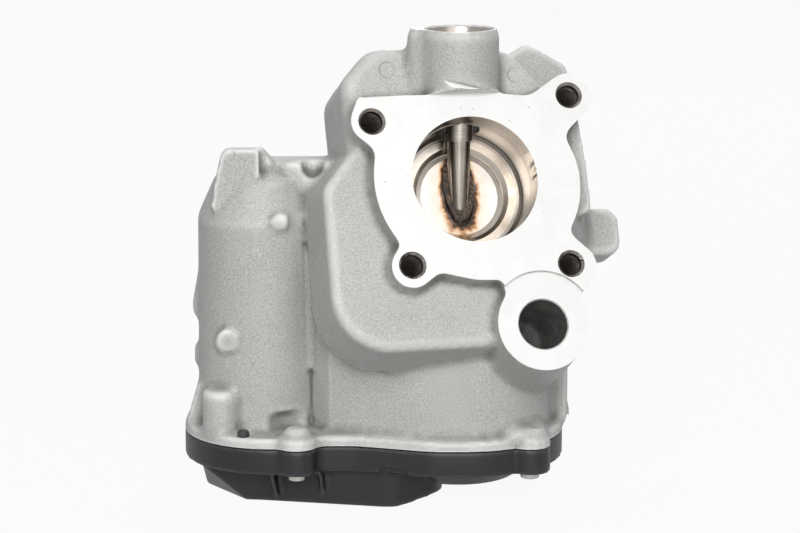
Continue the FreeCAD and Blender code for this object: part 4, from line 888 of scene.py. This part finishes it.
# Block that stands on a plane, its sides given in millimetres across and up that plane
def slab(plane, acrossRange, upRange):
    place, axis = plane
    if abs(axis.z) > 0.9:
        across, up, place = Vector((1, 0, 0)), Vector((0, 1, 0)), Vector((0, 0, place.z))
    else:
        across, up = flangeAcross, flangeUp
        place = axis * place.dot(axis)
    corners = [place + across * acrossRange[x] * mm + up * upRange[y] * mm
               for x, y in ((0, 0), (1, 0), (1, 1), (0, 1))]
    corners += [corner + axis * (castingShape["slabHeight"] * mm) for corner in corners]
    quads = [(0, 3, 2, 1), (4, 5, 6, 7), (0, 1, 5, 4), (1, 2, 6, 5), (2, 3, 7, 6), (3, 0, 4, 7)]
    return closedMesh("slab", corners, quads)


casting = softCasting()
casting.name = "castHousing"
print("casting:", len(casting.data.loops) - 2 * len(casting.data.polygons), "triangles")
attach(casting, "housing")
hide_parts("valve_housing")

coverShape = {"voxel": 0.7, "smoothing": 4}


# The moulded cover: the CAD solid with softly rounded edges
def softCover():
    cover = mergedCopy("gear_cover", "mouldedCover")
    recast(cover, coverShape["voxel"])
    soften(cover, coverShape["smoothing"])
    cover.data.materials.clear()
    cover.data.materials.append(finishes["coverPlastic"])
    cover.data.polygons.foreach_set("use_smooth", np.ones(len(cover.data.polygons), dtype=bool))
    return cover


cover = softCover()
print("cover:", 2 * len(cover.data.polygons), "triangles")
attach(cover, "housing")
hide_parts("gear_cover")

# Floor, light and camera. Each lamp has its place, what it aims at, its width and height, and its power
studio = {
    "floorDrop": 0.0004, "floorHalf": 6.0, "floorTone": 0.42, "floorRoughness": 0.9, "floorShown": 0.94,
    "world": 0.10,
    "lamps": {
        "keyLight": ((-0.16, -0.92, 0.60), (-0.02, 0, -0.03), (0.5, 0.5), 7.8),
        "fillLight": ((0.12, -1.10, 0.16), (-0.02, 0, -0.03), (0.4, 0.5), 4.0),
        "topLight": ((0.0, 0.15, 0.95), (-0.02, 0, -0.03), (0.9, 0.7), 2.8),
        "backLight": ((0.25, 1.05, 0.55), (-0.02, 0, -0.03), (0.8, 0.6), 4.0),
        "frontLight": ((0.34, -0.62, 0.52), (0.0, 0, -0.01), (0.45, 0.45), 1.1)}}


# Shows one shader to the camera, mirrors and glass, and lights the object with the other
def showWhite(tree, lighting, shown, share, output):
    ray = tree.nodes.new("ShaderNodeLightPath")
    seen = mathNode(tree, "MAXIMUM", ray.outputs["Is Camera Ray"], ray.outputs["Is Glossy Ray"])
    seen = mathNode(tree, "MAXIMUM", seen, ray.outputs["Is Transmission Ray"])
    blend = tree.nodes.new("ShaderNodeMixShader")
    link(tree, mathNode(tree, "MULTIPLY", seen, share), blend.inputs[0])
    link(tree, lighting.outputs[0], blend.inputs[1])
    link(tree, shown.outputs[0], blend.inputs[2])
    link(tree, blend.outputs[0], tree.nodes[output].inputs["Surface"])


def studioFloor():
    low, half = cadBox[0][2] - studio["floorDrop"], studio["floorHalf"]
    mesh = bpy.data.meshes.new("studioFloor")
    mesh.from_pydata([(-half, -half, low), (half, -half, low), (half, half, low), (-half, half, low)], [],
                     [(0, 1, 2, 3)])
    floor = newObject("studioFloor", mesh)
    material, tree, shader = startMaterial("floorWhite")
    shader.inputs["Base Color"].default_value = (*[studio["floorTone"]] * 3, 1.0)
    shader.inputs["Roughness"].default_value = studio["floorRoughness"]
    glow = tree.nodes.new("ShaderNodeEmission")
    glow.inputs["Color"].default_value = (1, 1, 1, 1)
    showWhite(tree, shader, glow, studio["floorShown"], "Material Output")
    mesh.materials.append(material)


def studioWorld():
    world = bpy.data.worlds.new("studioWorld")
    bpy.context.scene.world = world
    world.use_nodes = True
    tree = world.node_tree
    light = tree.nodes["Background"]
    light.inputs["Color"].default_value = (1, 1, 1, 1)
    light.inputs["Strength"].default_value = studio["world"]
    shown = tree.nodes.new("ShaderNodeBackground")
    shown.inputs["Color"].default_value = (1, 1, 1, 1)
    showWhite(tree, light, shown, 1.0, "World Output")


def softBox(name, place, aim, size, power):
    lamp = bpy.data.lights.new(name, "AREA")
    lamp.shape = "RECTANGLE"
    lamp.size, lamp.size_y = size
    lamp.energy = power
    obj = newObject(name, lamp)
    obj.location = place
    obj.rotation_euler = (Vector(aim) - Vector(place)).to_track_quat("-Z", "Y").to_euler()


studioFloor()
studioWorld()
for name, lamp in studio["lamps"].items():
    softBox(name, *lamp)
print("studio:", len(studio["lamps"]), "lamps")

cameraSet = {"place": (-0.0226, -0.7498, 0.1270), "lookDown": 11.6, "focalLength": 113.985, "sensorWidth": 36.0}


def photoCamera():
    lens = bpy.data.cameras.new("photoCamera")
    lens.sensor_width = cameraSet["sensorWidth"]
    lens.lens = cameraSet["focalLength"]
    lens.clip_start = 0.01
    camera = newObject("photoCamera", lens)
    camera.location = cameraSet["place"]
    camera.rotation_euler = (math.radians(90 - cameraSet["lookDown"]), 0, 0)
    bpy.context.scene.camera = camera


photoCamera()
bpy.context.scene.view_settings.view_transform = "Standard"
